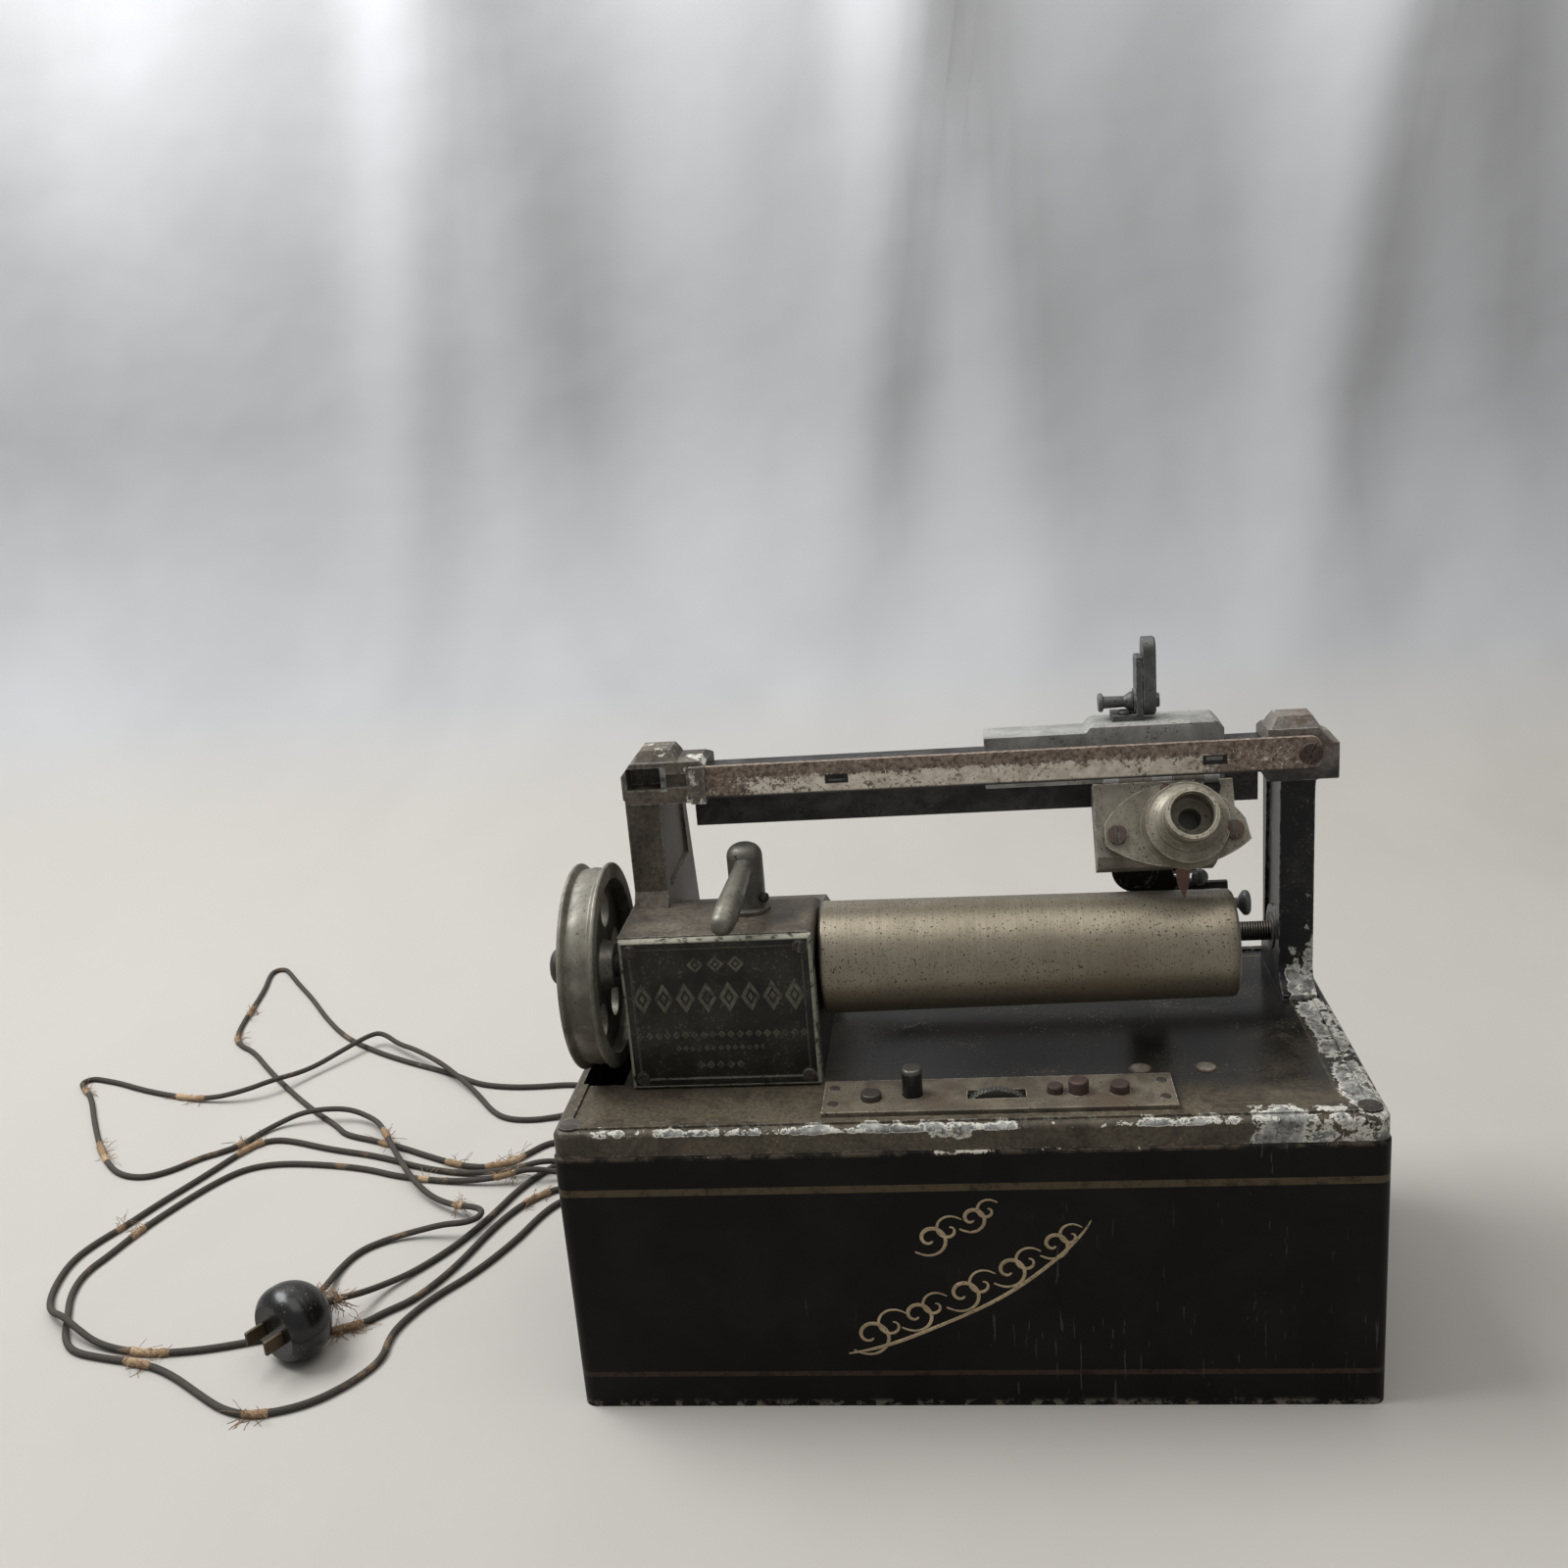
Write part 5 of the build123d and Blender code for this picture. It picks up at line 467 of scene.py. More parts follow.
MATS = {
    "case": case_lacquer(),
    "mandrel": mandrel_metal(),
    "strip": strip_plating(),
    "cover": cover_enamel(),
    "thread": thread_steel(),
    "box": aged_metal("brown_box", (0.22, 0.2, 0.155), (0.09, 0.08, 0.062), (0.03, 0.022, 0.015),
                      wear=(0.5, 0.46, 0.38), pits=0.5, metal=0.3, rough=(0.4, 0.62), blotch=45),
    "rim": aged_metal("chipped_rim", (0.42, 0.385, 0.3), (0.2, 0.18, 0.13), (0.05, 0.035, 0.022),
                      wear=(0.6, 0.56, 0.47), pits=0.8, metal=0.4, blotch=160),
    "head": aged_metal("tarnished_head", (0.225, 0.2, 0.15), (0.115, 0.102, 0.075), (0.035, 0.025, 0.017),
                       wear=(0.55, 0.51, 0.42), pits=0.5, metal=0.35, rough=(0.4, 0.62)),
    "carriage": aged_metal("grey_carriage", (0.36, 0.355, 0.33), (0.2, 0.197, 0.183), (0.05, 0.045, 0.038),
                           rough=(0.4, 0.6), wear=(0.36, 0.35, 0.32), metal=0.25),
    "grey": aged_metal("dark_grey_metal", (0.12, 0.122, 0.118), (0.055, 0.056, 0.054), (0.02, 0.018, 0.015),
                       rough=(0.36, 0.58), wear=(0.36, 0.35, 0.32), metal=0.4),
    "rail": aged_metal("oiled_rail", (0.05, 0.047, 0.043), (0.02, 0.019, 0.018), (0.01, 0.01, 0.01),
                       rough=(0.38, 0.6), wear=(0.16, 0.14, 0.12), metal=0.6),
    "steel": aged_metal("shaft_steel", (0.16, 0.15, 0.13), (0.07, 0.065, 0.055), (0.04, 0.03, 0.02),
                        wear=(0.4, 0.38, 0.34)),
    "pulley": aged_metal("pulley_metal", (0.2, 0.185, 0.148), (0.085, 0.078, 0.06), (0.03, 0.022, 0.015),
                         wear=(0.42, 0.4, 0.34), metal=0.35, rough=(0.38, 0.6), pits=0.4),
    "plate": aged_metal("control_nickel", (0.2, 0.168, 0.122), (0.085, 0.07, 0.05), (0.03, 0.02, 0.014),
                        wear=(0.6, 0.55, 0.45), metal=0.3, pits=0.6, rough=(0.36, 0.6),
                        tint=(0.1, 0.065, 0.04)),
    "lever": aged_metal("lever_grey", (0.17, 0.16, 0.128), (0.07, 0.065, 0.053), (0.02, 0.016, 0.012),
                        wear=(0.42, 0.4, 0.34), metal=0.4, rough=(0.32, 0.55), tint=(0.25, 0.23, 0.18)),
    "brass": aged_metal("dull_brass", (0.3, 0.21, 0.09), (0.14, 0.09, 0.04), (0.05, 0.03, 0.02)),
    "bronze": aged_metal("dark_bronze", (0.12, 0.085, 0.05), (0.06, 0.045, 0.03), (0.03, 0.02, 0.014)),
    "screw": aged_metal("dark_screw", (0.07, 0.06, 0.048), (0.028, 0.024, 0.02), (0.015, 0.012, 0.01),
                        rough=(0.45, 0.7), wear=(0.24, 0.21, 0.17), metal=0.5),
    "rust": aged_metal("rust_screw", (0.085, 0.052, 0.04), (0.038, 0.024, 0.019), (0.015, 0.01, 0.008),
                       rough=(0.5, 0.8), metal=0.3, wear=(0.24, 0.18, 0.14), pits=0.5),
    "copper": aged_metal("browned_copper", (0.13, 0.066, 0.048), (0.055, 0.03, 0.023), (0.03, 0.02, 0.015),
                         metal=0.5, rough=(0.4, 0.65), wear=(0.3, 0.18, 0.13)),
    "plug_disc": aged_metal("pale_disc", (0.36, 0.345, 0.29), (0.15, 0.125, 0.09), (0.09, 0.04, 0.02),
                            pits=0.7,
                            wear=(0.16, 0.08, 0.045), metal=0.3, rough=(0.4, 0.6)),
    "bed": enamel("bed_enamel", rough=0.16, dusty=0.34, places=bed_places, dust_at=bed_dust, spec=0.16,
                  color=(0.0125, 0.0115, 0.0102), dust=(0.11, 0.09, 0.062), rim=0.0016, line=bed_line),
    "housing": enamel("housing_enamel", dusty=0.8, rough=0.42, dust=(0.15, 0.125, 0.095), dust_at=roof_dust,
                      wear_amount=0.9, places=block_places, color=(0.007, 0.0065, 0.0055), rim=0.0018),
    "upright": enamel("upright_enamel", color=(0.009, 0.0095, 0.0105), dust=(0.2, 0.175, 0.15), dusty=0.5,
                      dust_at=lambda k: near(k, k.xyz()[2], 222.0, 236.0), rust=block_rust,
                      rough=0.36, places=post_places, wear=(0.24, 0.24, 0.22), wear_amount=0.7),
    "black": enamel("black_enamel", dusty=0.4, rough=0.34),
    "gloss": enamel("gloss_black", dusty=0.25, rough=0.26, dust=(0.035, 0.03, 0.024), spec=0.4),
    "iron": aged_metal("motor_iron", (0.06, 0.058, 0.055), (0.03, 0.029, 0.028), (0.015, 0.013, 0.012)),
    "board": aged_metal("bare_board", (0.3, 0.2, 0.11), (0.17, 0.11, 0.06), (0.08, 0.05, 0.03), metal=0.0,
                        rough=(0.7, 0.85), blotch=25),
    "mica": aged_metal("mica_disc", (0.5, 0.48, 0.42), (0.34, 0.32, 0.27), (0.2, 0.17, 0.13), metal=0.0,
                       rough=(0.2, 0.35)),
    "cloth": cloth_cover("braided_cloth", (0.052, 0.046, 0.039), (0.15, 0.105, 0.065), 0.03),
    "tan": cloth_cover("frayed_cloth", (0.25, 0.165, 0.095), (0.4, 0.28, 0.175), 0.12),
    "gilt": aged_metal("dull_gilt", (0.46, 0.355, 0.215), (0.26, 0.195, 0.115), (0.06, 0.045, 0.03),
                       metal=0.3,
                       rough=(0.45, 0.6), pits=0.6),
}

GROUPS = {
    "case": ("case_shell",), "bed": ("bedplate",), "mandrel": ("mandrel_shell",), "strip": ("index_strip",),
    "cover": ("housing_cover_plate",), "thread": ("feed_screw",), "housing": ("gear_housing",),
    "upright": ("right_upright",), "rail": ("guide_rail",), "pulley": ("drive_pulley",),
    "plate": ("control_plate",), "lever": ("start_lever",), "plug_disc": ("bed_plugs",),
    "mica": ("diaphragm",),
    "head": ("recorder_flange", "mouth_tube"), "box": ("head_box",), "board": ("case_base_board",),
    "carriage": ("carriage_sleeve",),
    "grey": ("lever_bracket", "lift_lever", "thumb_knob", "shaver_knob", "ball_lever"),
    "steel": ("idler_stud", "motor_armature", "motor_pulley", "speed_wheel", "wheel_bracket",
              "mandrel_end_disc", "stylus_bar"),
    "brass": ("spindle_gear", "idler_gear", "feed_gear"), "bronze": ("half_nut", "plug_blades"),
    "screw": ("bed_screws", "control_plate_screws", "cover_screws", "clamp_screw", "pulley_nut",
              "stop_button", "spindle", "shaft_bushes"),
    "rust": ("recorder_screws", "strip_screw", "index_button_a", "index_button_b", "index_button_c"),
    "copper": ("indicator_pointer",), "black": ("feed_arm", "motor_brushes", "wire_gland"),
    "gloss": ("plug_body", "listen_button"), "iron": ("motor_field", "motor_end_shields"),
}
SHARP = ("diaphragm", "indicator_pointer", "index_strip", "spindle_gear", "idler_gear", "feed_gear")
SOFT = {"gear_housing": 0.0008, "right_upright": 0.0022, "case_shell": 0.0012, "head_box": 0.0007,
        "carriage_sleeve": 0.0007, "lift_lever": 0.0006}


def crisp(node, width=0.0004, seg=2, angle=28):
    """Small rounded edges on a CAD node."""
    o = NODES[node]
    w = o.modifiers.new("weld", "WELD")
    w.merge_threshold = 2e-6
    b = o.modifiers.new("edges", "BEVEL")
    b.width = width
    b.segments = seg
    b.limit_method = "ANGLE"
    b.angle_limit = math.radians(angle)
    b.use_clamp_overlap = True
    n = o.modifiers.new("shade", "WEIGHTED_NORMAL")
    n.keep_sharp = False
    n.weight = 80


for key, names in GROUPS.items():
    for n in names:
        NODES[n].data.materials.clear()
        NODES[n].data.materials.append(MATS[key])
        crisp(n, 0.00012 if n in SHARP else SOFT.get(n, 0.0004), 3 if n in SOFT else 2)


# -------------------------------------------------------------------- pieces
def piece(name, mesh_or_curve, mat, body="base"):
    """Link a built piece, give it its material and let it ride its body."""
    o = bpy.data.objects.new(name, mesh_or_curve)
    bpy.context.collection.objects.link(o)
    mesh_or_curve.materials.append(MATS[mat])
    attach(o, body)
    return o


def turned(name, profile, origin, axis, mat, body, steps=40):
    """A turned piece: (distance along the axis, radius) pairs in mm about an axis."""
    az = Vector(axis).normalized()
    ax = az.orthogonal().normalized()
    ay = az.cross(ax)
    bm = bmesh.new()
    rings = []
    for along, rad in profile:
        c = Vector(origin) + az * along
        if rad <= 0:
            rings.append([bm.verts.new(c * MM)])
        else:
            rings.append([bm.verts.new((c + (ax * math.cos(t) + ay * math.sin(t)) * rad) * MM)
                          for t in (2 * math.pi * i / steps for i in range(steps))])
    for a, b in zip(rings, rings[1:]):
        for i in range(steps):
            j = (i + 1) % steps
            corners = [a[i % len(a)], a[j % len(a)], b[j % len(b)], b[i % len(b)]]
            corners = list(dict.fromkeys(corners))
            if len(corners) > 2:
                bm.faces.new(corners)
    bmesh.ops.recalc_face_normals(bm, faces=bm.faces)
    me = bpy.data.meshes.new(name)
    bm.to_mesh(me)
    for p in me.polygons:
        p.use_smooth = True
    o = piece(name, me, mat, body)
    e = o.modifiers.new("split", "EDGE_SPLIT")
    e.split_angle = math.radians(40)
    return o


def slot_bar(name, at, along, normal, length, mat, body, width=0.9, depth=0.25):
    """The dark slot of a screw head: a sunk sliver lying on the head."""
    a = Vector(along).normalized()
    n = Vector(normal).normalized()
    b = n.cross(a)
    bm = bmesh.new()
    pts = [(-1, -1), (-0.96, 1), (0.96, 1), (1, -1)]
    ring = [[bm.verts.new((Vector(at) + a * (u * length / 2) + b * (v * width / 2) + n * h) * MM)
             for u, v in pts] for h in (-depth, 0.03)]
    bm.faces.new(ring[1])
    for i in range(4):
        j = (i + 1) % 4
        bm.faces.new((ring[0][i], ring[0][j], ring[1][j], ring[1][i]))
    bmesh.ops.recalc_face_normals(bm, faces=bm.faces)
    me = bpy.data.meshes.new(name)
    bm.to_mesh(me)
    return piece(name, me, mat, body)


# recorder head: nub above the flange, worn seat ring on the tube's mouth
LEAN = math.radians(30)
OUT = Vector((0, -math.cos(LEAN), math.sin(LEAN)))
DOWN = Vector((0, -math.sin(LEAN), -math.cos(LEAN)))
FACE = Vector((0, -8.0, 229.0))


def face_point(right, down, out):
    return FACE + Vector((right, 0, 0)) + DOWN * down + OUT * out


turned("flange_nub", [(0.0, 2.2), (2.2, 2.2), (2.5, 1.8), (4.0, 1.7), (4.5, 1.2), (4.6, 0.0)],
       face_point(84.6, 4.8, 0.0), OUT, "copper", "recorder_head", 24)
turned("tube_mouth_ring", [(-3.0, 9.85), (-0.4, 9.95), (0.25, 9.6), (0.3, 8.3), (-0.6, 8.0), (-3.0, 7.95)],
       face_point(91.1, 20.0, 25.8), OUT, "rim", "recorder_head", 56)
turned("tube_root_fillet",
       [(0.0, 14.6), (0.5, 13.2), (1.2, 12.2), (2.6, 11.9), (3.4, 10.8), (5.2, 10.0), (5.3, 9.7)],
       face_point(91.1, 20.0, 10.8), OUT, "head", "recorder_head", 56)
for side in (-21.9, 21.9):
    slot_bar("flange_screw_slot_%s" % ("l" if side < 0 else "r"), face_point(87.2 + side, 22.2, 4.3),
             DOWN + Vector((0.12, 0, 0)), OUT, 7.2, "screw", "recorder_head", 0.8)

# start lever: collar at the post's foot with its side screw
turned("lever_collar", [(0.0, 8.6), (1.6, 8.7), (2.2, 7.9), (2.4, 7.15)], (-80.0, -17.0, 185.1), (0, 0, 1),
       "housing", "start_lever", 44)
turned("lever_collar_screw", [(0.0, 2.0), (1.7, 2.0), (2.1, 1.5), (2.1, 0.0)], (-73.6, -21.2, 191.6),
       (0.84, -0.54, 0.0), "screw", "start_lever", 20)

# screw slots of bed, cover and control plate
for i, (sx, sy) in enumerate(((-1, -1), (1, -1), (-1, 1), (1, 1))):
    slot_bar("bed_screw_slot_%d" % i, (sx * 147.9, sy * 73.9, 121.9), (1, 0.3 * sx, 0), (0, 0, 1), 7.6,
             "screw", "base", 1.1)
COVER_X = (-124.0, -57.6)
for i, (cx, cz, tall) in enumerate(((COVER_X[0], 180.0, 1), (COVER_X[1], 180.0, 1), (COVER_X[0], 126.0, 0),
                                    (COVER_X[1], 126.0, 0))):
    slot_bar("cover_screw_slot_%d" % i, (cx, -46.5, cz), (0.25, 0, 1) if tall else (1, 0, 0.5),
             (0, -1, 0), 4.4, "screw", "base", 0.8)
for i, cx in enumerate((-47.5, 76.8)):
    for j, cy in enumerate((-64.8, -52.0)):
        slot_bar("plate_screw_slot_%d%d" % (i, j), (cx, cy, 123.0), (1, 0.5, 0), (0, 0, 1), 3.4, "screw",
                 "base", 0.6)

# listening button's worn top, and rings around the bed plugs
turned("listen_button_cap", [(-1.6, 4.0), (-0.5, 4.05), (0.1, 3.7), (0.35, 3.2), (0.2, 2.2), (0.2, 0.0)],
       (-17.2, -58.0, 133.6), (0, 0, 1), "steel", "listen_button", 32)
for i, px in enumerate((70.5, 95.4)):
    turned("bed_plug_ring_%d" % i, [(0.0, 4.5), (0.3, 4.4), (0.45, 3.8), (0.3, 3.5)], (px, -39.0, 121.0),
           (0, 0, 1), "rust", "base", 32)


# plain scroll ornament on the case's front, in place of any lettering
def scroll(name, points, depth):
    cu = bpy.data.curves.new(name, "CURVE")
    cu.dimensions = "3D"
    cu.resolution_u = 10
    cu.bevel_depth = depth * MM
    cu.bevel_resolution = 2
    for run in points:
        sp = cu.splines.new("NURBS")
        sp.points.add(len(run) - 1)
        for q, (x, z, wide) in zip(sp.points, run):
            q.co = (x * MM, 0.0, z * MM, 1.0)
            q.radius = wide
        sp.order_u = 4
        sp.use_endpoint_u = True
    cu.materials.append(MATS["gilt"])
    o = piece(name, cu, "gilt")
    o.scale = (1.0, 0.12, 1.0)
    o.location = (0, -0.0811, 0)
    return o


def spiral(cx, cz, r0, r1, a0, turns, hand, wide):
    """A spiral arm from radius r0 to r1 about (cx, cz)."""
    n = 18
    return [(cx + (r0 + (r1 - r0) * i / n) * math.cos(a0 + hand * 2 * math.pi * turns * i / n),
             cz + (r0 + (r1 - r0) * i / n) * math.sin(a0 + hand * 2 * math.pi * turns * i / n),
             wide * (0.35 + 0.65 * math.sin(math.pi * (i + 1) / (n + 2)))) for i in range(n + 1)]


runs = []
for cx, cz, size in ((-13.0, 74.0, 8.0), (3.0, 82.5, 6.5), (-38.0, 32.0, 9.5), (-20.0, 41.0, 8.0),
                     (-2.0, 50.0, 8.5), (16.0, 60.0, 8.0), (33.0, 71.0, 7.0)):
    runs.append(spiral(cx, cz, size, size * 0.15, -2.4, 1.25, 1, 1.0))
    runs.append(spiral(cx + size * 0.9, cz + size * 0.5, size * 0.8, size * 0.12, 0.7, 1.1, 1, 0.8))
runs.append([(-47.0, 24.0, 0.4), (-34.0, 26.0, 1.1), (-16.0, 34.0, 0.9), (4.0, 43.0, 0.9), (24.0, 55.0, 1.0),
             (44.0, 74.0, 0.9), (47.0, 81.0, 0.3)])
scroll("case_scroll", runs, 0.8)

# --------------------------------------------------------------------- wires
WIRE_A = [
    (-282.6, -31.5, 16.7), (-287, -24, 14.5), (-291, -13, 8.5), (-293.5, 0, 3.5), (-294, 14), (-290, 29),
    (-279, 39), (-265, 43, 3.5), (-251, 42, 7.5), (-241, 42, 8), (-234.5, 46, 8.4), (-235, 53, 8.2),
    (-242, 57.5, 7.5), (-254, 63, 5), (-269, 73, 4.5), (-284, 88, 7.5), (-303, 117, 8), (-318, 142, 7.5),
    (-330, 157, 4.5), (-344, 162, 7.5), (-360, 161.5, 8), (-373, 160.5, 6), (-384, 156, 2.5), (-391, 147),
    (-396, 135), (-404, 127), (-414, 121), (-424, 108), (-437, 101), (-454, 106), (-473, 126),
    (-498, 163), (-518, 196), (-529.1, 207.5), (-533.6, 212.9), (-533.9, 216.5), (-532.1, 219.1),
    (-528.7, 220.2), (-522, 218.2), (-508, 213), (-490, 204), (-464, 194), (-440, 188, 2.5),
    (-418, 188.5, 7), (-404, 198, 8.8), (-391, 218, 4.5), (-376, 242, 7), (-369, 254, 7.6),
    (-364.5, 258.6, 8), (-360.5, 259.2, 8), (-355, 256.5, 7.2), (-345, 248, 5.5), (-330, 235, 8),
    (-308, 216, 8), (-290, 199, 5), (-276, 184, 2.5), (-264, 167), (-253, 157), (-238, 154.5),
    (-223, 158), (-206, 160.5, 4.5), (-191, 158.5, 8.6), (-179, 149, 4.5), (-174, 131), (-177, 112),
    (-189, 98), (-205, 93.5, 4), (-222, 91.5, 8.6), (-239, 89.5, 4), (-262, 91), (-293, 97),
    (-315, 106.5), (-344, 112), (-366, 113.5), (-382, 109), (-393, 95), (-404.6, 69.6), (-412.5, 47),
    (-416, 30), (-421, 14), (-418, -4), (-409, -22), (-402, -37), (-393, -46), (-379, -50), (-355, -54.5),
    (-339, -62), (-319, -76), (-306, -84.5), (-294, -88), (-282, -86), (-269, -80), (-259, -70),
    (-252, -59), (-249.5, -50), (-251, -40), (-250, -29), (-242, -10), (-227, 10), (-214, 38),
    (-208.5, 57), (-202, 70), (-192, 75.5, 2.2), (-182, 71, 6), (-174.5, 63.5, 11.5), (-167, 60, 15.4),
    (-158.2, 59.8, 16),
]
WIRE_B = [
    (-278.7, -33.7, 16.7), (-277, -26, 13.5), (-273, -15, 8), (-267, -2, 3.5), (-257, 11), (-245, 29),
    (-237, 47), (-231, 64), (-226.5, 80), (-219, 96), (-210, 108), (-207, 120), (-213, 130), (-222, 129),
    (-230, 118), (-238, 108.5), (-250, 104.5), (-264, 107.5), (-283, 117), (-302, 127.5), (-321, 136),
    (-340, 143), (-349, 153.6), (-371, 173), (-398, 201), (-421, 227), (-441, 252), (-455, 262),
    (-462, 273), (-467.5, 294), (-472, 324), (-477, 352), (-481.6, 368), (-483.3, 377), (-482.9, 381.5),
    (-480.4, 384), (-477, 384.3), (-473.3, 381.7), (-467.8, 374.6), (-455, 357), (-436, 333), (-411, 297),
    (-387, 268), (-363, 249), (-336, 232), (-300, 213.5), (-282, 200), (-264, 195), (-246, 194),
    (-224, 196.5), (-207, 191), (-197, 178), (-191.5, 163), (-189, 147), (-188.5, 131), (-192, 115),
    (-203, 103, 4.5), (-217, 98.5, 8.6), (-232, 97, 4.5), (-257, 98.5), (-284, 105.5), (-312, 119),
    (-343, 127.5), (-370, 138.5), (-382, 139), (-391, 131), (-403, 100), (-414, 76), (-422, 54),
    (-429, 40), (-433, 25), (-431, 8), (-426, -8), (-417, -21, 4.5), (-406, -29, 8), (-396, -35.5, 6),
    (-384, -41.5, 2.5), (-368, -46), (-353, -47.5), (-337, -46), (-320, -42), (-303, -36), (-280, -33),
    (-267, -28), (-260, -19.5), (-249, -10), (-238, 14), (-230.5, 43), (-223.5, 62), (-213.5, 77),
    (-202, 84), (-190, 84, 2.5), (-180, 77, 7.5), (-173, 69, 12.6), (-166, 64.6, 15.4),
    (-158.2, 64.2, 16),
]


def wire(name, points, node):
    cu = bpy.data.curves.new(name, "CURVE")
    cu.dimensions = "3D"
    cu.bevel_depth = 1.5 * MM
    cu.bevel_resolution = 5
    cu.resolution_u = 8
    sp = cu.splines.new("NURBS")
    sp.points.add(len(points) - 1)
    for q, p in zip(sp.points, points):
        q.co = (p[0] * MM, p[1] * MM, (p[2] if len(p) > 2 else 1.6) * MM, 1.0)
    sp.use_endpoint_u = True
    sp.order_u = 3
    o = bpy.data.objects.new(name, cu)
    bpy.context.collection.objects.link(o)
    cu.materials.append(MATS["cloth"])
    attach(o, "base")
    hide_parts(node)
    return o


def run_of(o):
    """Points along a wire's own spline, in mm."""
    bare = o.data.copy()
    bare.bevel_depth = 0
    probe = bpy.data.objects.new("probe", bare)
    bpy.context.collection.objects.link(probe)
    me = bpy.data.meshes.new_from_object(probe)
    pts = [v.co * 1000 for v in me.vertices]
    bpy.data.objects.remove(probe)
    return pts


# Worn places of the wires: x, y and length of the place (mm), then how thickly it is frayed.
FRAYS = [(-464, 313, 22, 16), (-461, 269, 14, 10), (-522, 206, 16, 14), (-476, 128, 30, 22),
         (-452, 194, 26, 8), (-389, 130, 20, 16), (-417, 49, 16, 12), (-437, 20, 10, 6), (-254, 53, 20, 16),
         (-279, 90, 14, 8), (-236, 103, 30, 20), (-219, 79, 22, 14), (-284, -25, 16, 34), (-271, -34, 18, 38),
         (-297, -14, 12, 12), (-291, -87, 14, 14), (-357, -50, 22, 14), (-312, 132, 16, 8),
         (-269, 107, 14, 8)]
# Loose fibres drawn for each step of that thickness.
FIBRES_PER_COUNT = 1.6


def fray(tag, run):
    """Tan worn lengths of braid with loose fibres, along a wire's run."""
    rnd = random.Random(tag)
    sleeves = bpy.data.curves.new("worn_braid_" + tag, "CURVE")
    loose = bpy.data.curves.new("loose_fibres_" + tag, "CURVE")
    for cu, depth in ((sleeves, 1.62), (loose, 0.15)):
        cu.dimensions = "3D"
        cu.bevel_depth = depth * MM
        cu.bevel_resolution = 3 if cu is sleeves else 0
    for fx, fy, reach, count in FRAYS:
        near_pts = [i for i, p in enumerate(run) if math.hypot(p.x - fx, p.y - fy) < reach / 2]
        if len(near_pts) < 3:
            continue
        lo = hi = near_pts[len(near_pts) // 2]
        while lo - 1 in near_pts:
            lo -= 1
        while hi + 1 in near_pts:
            hi += 1
        if hi - lo < 2:
            continue
        sp = sleeves.splines.new("POLY")
        sp.points.add(hi - lo)
        for q, i in zip(sp.points, range(lo, hi + 1)):
            q.co = (*(run[i] * MM), 1.0)
            q.radius = 0.9 if i in (lo, hi) else rnd.uniform(0.95, 1.3)
        for _ in range(int(count * FIBRES_PER_COUNT)):
            i = rnd.randint(lo, hi - 1)
            way = (run[i + 1] - run[i]).normalized()
            lean = Vector((rnd.uniform(-1, 1), rnd.uniform(-1, 1), rnd.uniform(-0.2, 1)))
            side = way.cross(lean).normalized()
            p = run[i] + side * 1.3
            sp = loose.splines.new("NURBS")
            sp.points.add(4)
            step = side * rnd.uniform(0.5, 1.6) + way * rnd.uniform(-1.8, 1.8)
            for q in sp.points:
                q.co = (p.x * MM, p.y * MM, max(p.z, 0.15) * MM, 1.0)
                q.radius = rnd.uniform(0.6, 1.3)
                p = p + step
                step = step + Vector((rnd.uniform(-0.7, 0.7), rnd.uniform(-0.7, 0.7),
                                      rnd.uniform(-0.9, 0.35)))
            sp.order_u = 3
            sp.use_endpoint_u = True
    piece("worn_braid_" + tag, sleeves, "tan")
    piece("loose_fibres_" + tag, loose, "tan")


wire_a = wire("wire_braid_a", WIRE_A, "line_wire_a")
wire_b = wire("wire_braid_b", WIRE_B, "line_wire_b")
fray("a", run_of(wire_a))
fray("b", run_of(wire_b))

# --------------------------------------------------------------------- stage
# Hanging folds: place at floor level, lean, width, depth (m).
FOLDS = ((-1.30, 0.10, 0.10, 0.050), (-0.86, -0.16, 0.06, 0.050), (-0.56, 0.13, 0.045, 0.040),
         (-0.36, -0.07, 0.07, 0.050), (-0.12, 0.16, 0.04, 0.045), (0.10, -0.11, 0.05, 0.045),
         (0.30, 0.18, 0.045, 0.050), (0.52, -0.05, 0.06, 0.040), (0.78, 0.12, 0.05, 0.050),
         (1.10, -0.08, 0.09, 0.060), (1.55, 0.05, 0.12, 0.060))


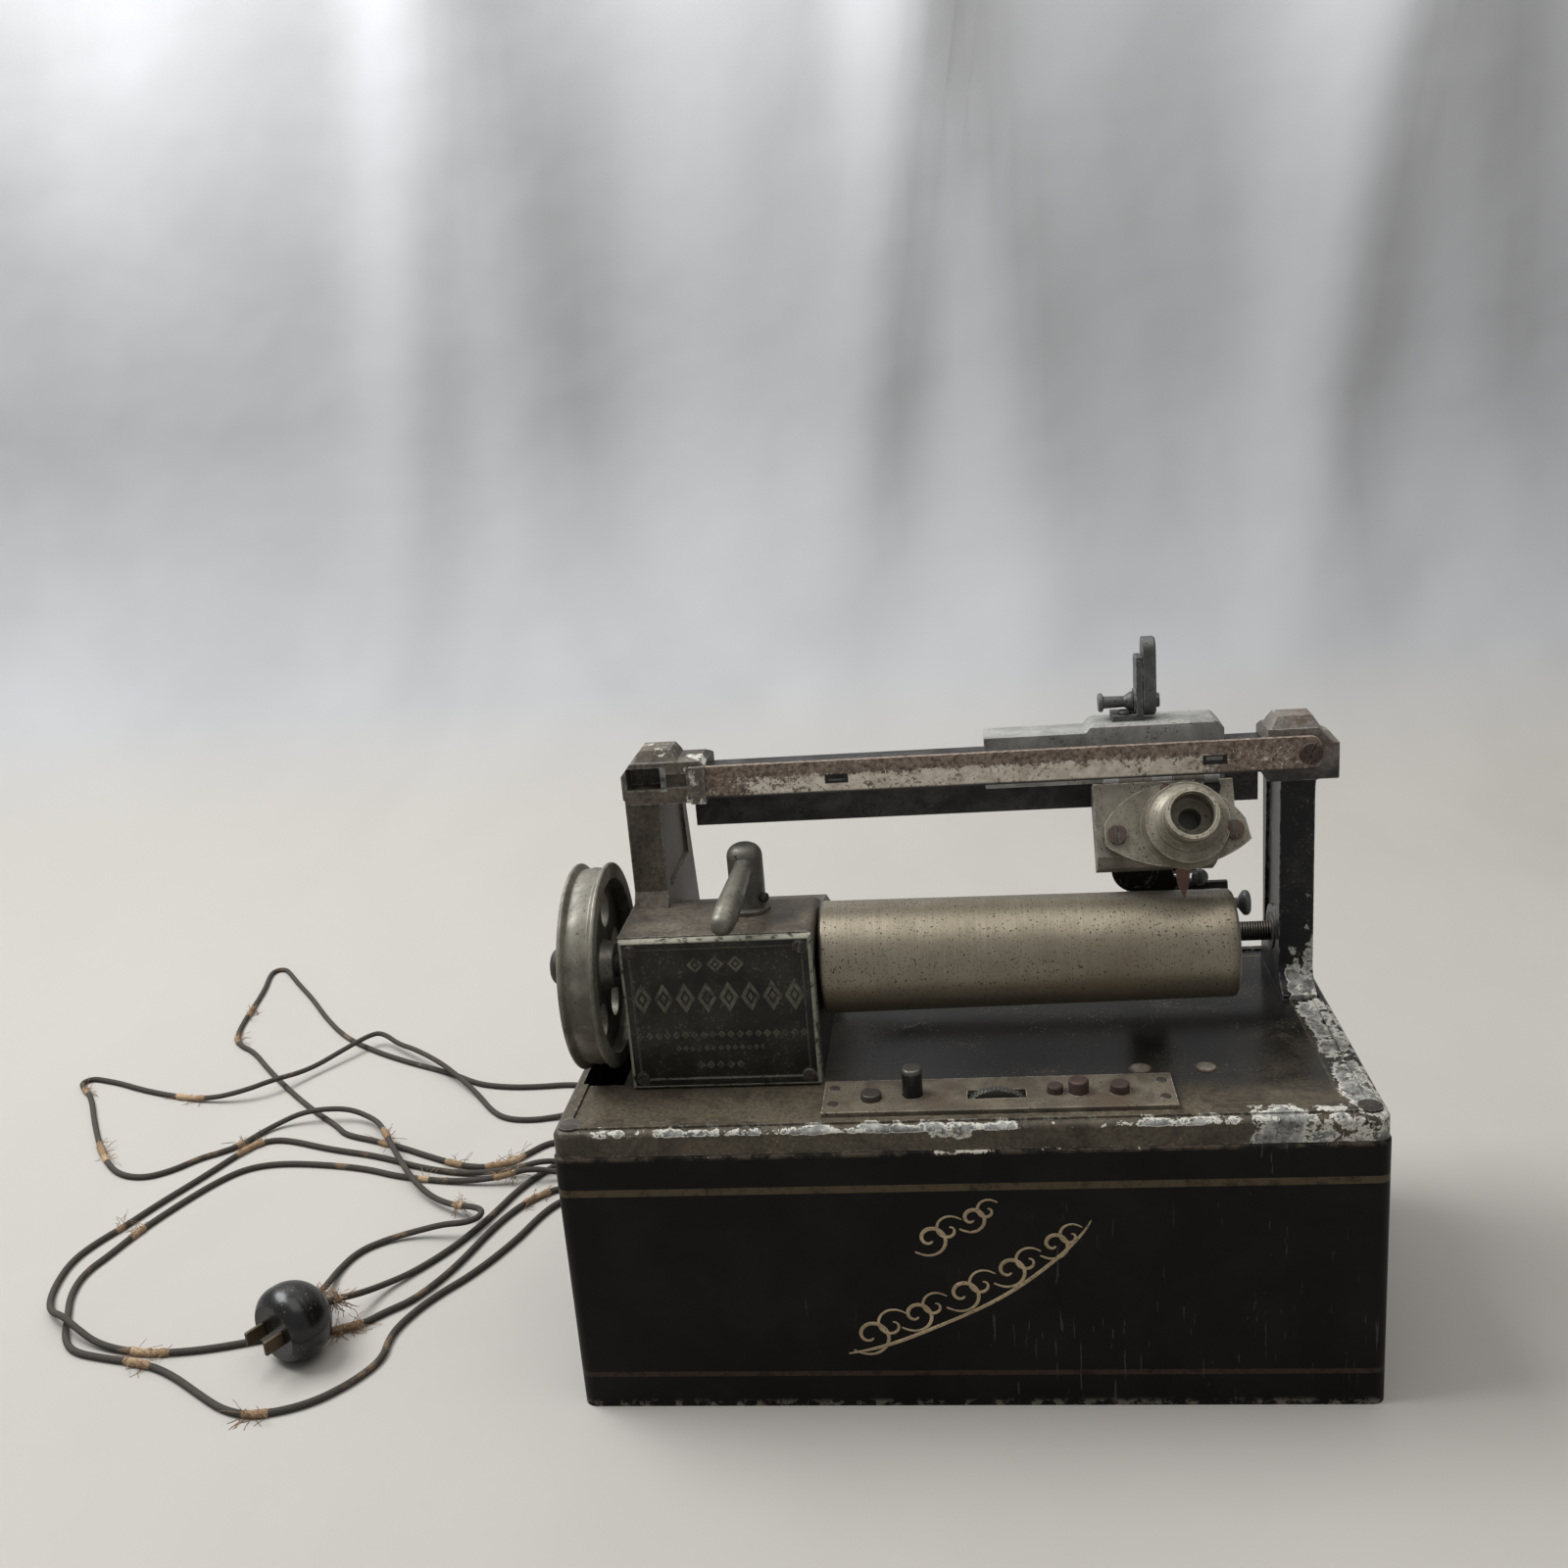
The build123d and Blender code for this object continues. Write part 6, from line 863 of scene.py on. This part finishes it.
def stage():
    """A white cloth: flat under the machine, swept up behind it and hung in soft folds; its hanging part
    carries painted shade along the folds and painted light towards the top.
    """
    k = Look("white_cloth", rough=0.92, spec=0.12)
    z = k.xyz()[2]
    # Painted shade: the hanging cloth's tone is streaked darker and lighter along its folds.
    fold_shade_noise = k.noise(1.6, 4, 0.55, 0.8, vec=k.scaled(1.0, 1.0, 0.3))
    cloth_with_painted_light = k.mix(k.span(fold_shade_noise, 0.35, 0.7), (0.315, 0.318, 0.325), (0.38, 0.383, 0.39))
    # Painted light: the hanging cloth is darker near the machine and painted brighter towards its top, where
    # the window light falls.
    cloth_with_painted_light = k.mix(near(k, z, 350.0, 1100.0), cloth_with_painted_light, (0.64, 0.645, 0.655))
    col = k.mix(near(k, z, 10.0, 120.0), (0.362, 0.343, 0.316), cloth_with_painted_light)
    weave = k.noise(900, 2, 0.6)
    k.set("Base Color", k.mix(k.span(weave, 0.3, 0.7, 0, 0.15), col, (0.36, 0.35, 0.33)))
    creases = k.noise(3.2, 2, 0.45, 0.25, vec=k.scaled(1.0, 0.8, 0.6, (0.3, 0.1, 0.0)))
    k.bump(k.math("ADD", creases, k.math("MULTIPLY", k.noise(9, 2, 0.5), 0.12)), 0.6, 0.05)
    bm = bmesh.new()
    prof = [(-2.0, 0.0), (0.3, 0.0), (0.5, 0.0)]
    for i in range(1, 15):
        a = math.radians(i * 6.0)
        prof.append((0.55 + 0.4 * math.sin(a), 0.4 * (1 - math.cos(a))))
    for i in range(1, 25):
        prof.append((0.955 + 0.006 * i, 0.36 + i * 0.12))
    cols = [-2.6 + 5.2 * i / 260 for i in range(261)]
    rows = []
    for y0, z0 in prof:
        grow = 0.7 * min(1.0, max(0.0, (z0 - 0.02) / 0.7)) ** 0.7
        row = []
        for x0 in cols:
            dy = sum(a * math.exp(-((x0 - c - lean * z0) / w) ** 2) for c, lean, w, a in FOLDS)
            dy += 0.012 * math.sin(9.0 * x0 + 2.2 * z0) + 0.008 * math.sin(23.0 * x0 - 3.1 * z0)
            row.append(bm.verts.new((x0, y0 - grow * dy, z0)))
        rows.append(row)
    for a, b in zip(rows, rows[1:]):
        for i in range(len(cols) - 1):
            bm.faces.new((a[i], a[i + 1], b[i + 1], b[i]))
    me = bpy.data.meshes.new("table_cloth")
    bm.to_mesh(me)
    for p in me.polygons:
        p.use_smooth = True
    o = bpy.data.objects.new("table_cloth", me)
    bpy.context.collection.objects.link(o)
    me.materials.append(k.m)


stage()

# ------------------------------------------------------------ camera and light
YAW, PITCH, ROLL = (math.radians(v) for v in (6.961, 16.069, 4.752))
f = Vector((-math.sin(YAW) * math.cos(PITCH), math.cos(YAW) * math.cos(PITCH), -math.sin(PITCH)))
r = Vector((math.cos(YAW), math.sin(YAW), 0))
d = f.cross(r)
r2 = r * math.cos(ROLL) + d * math.sin(ROLL)
d2 = -r * math.sin(ROLL) + d * math.cos(ROLL)
cam = bpy.data.cameras.new("camera")
cam.sensor_width = 36
cam.lens = 1595.318 / 1600 * 36
cam.clip_start = 0.02
cam_o = bpy.data.objects.new("camera", cam)
bpy.context.collection.objects.link(cam_o)
cam_o.matrix_world = Matrix(((r2.x, -d2.x, -f.x, 0.009373), (r2.y, -d2.y, -f.y, -0.599881),
                             (r2.z, -d2.z, -f.z, 0.405784), (0, 0, 0, 1)))
bpy.context.scene.camera = cam_o


def area(name, size, loc, aim, power, color=(1, 1, 1), size_y=None):
    li = bpy.data.lights.new(name, "AREA")
    li.shape = "RECTANGLE"
    li.size = size
    li.size_y = size_y or size
    li.energy = power
    li.color = color
    o = bpy.data.objects.new(name, li)
    bpy.context.collection.objects.link(o)
    o.location = loc
    o.rotation_euler = (Vector(aim) - Vector(loc)).to_track_quat("-Z", "Y").to_euler()


area("window", 1.3, (-1.1, 0.25, 1.7), (0.1, 0.35, 0.2), 50, (0.96, 0.98, 1.0), 1.0)
area("ceiling", 2.0, (0.4, -0.2, 2.3), (0, 0.2, 0), 24, (1.0, 0.98, 0.95))
w = bpy.data.worlds.new("room")
w.use_nodes = True
w.node_tree.nodes["Background"].inputs[0].default_value = (0.9, 0.92, 0.95, 1)
w.node_tree.nodes["Background"].inputs[1].default_value = 0.42
bpy.context.scene.world = w
bpy.context.scene.view_settings.view_transform = "Standard"
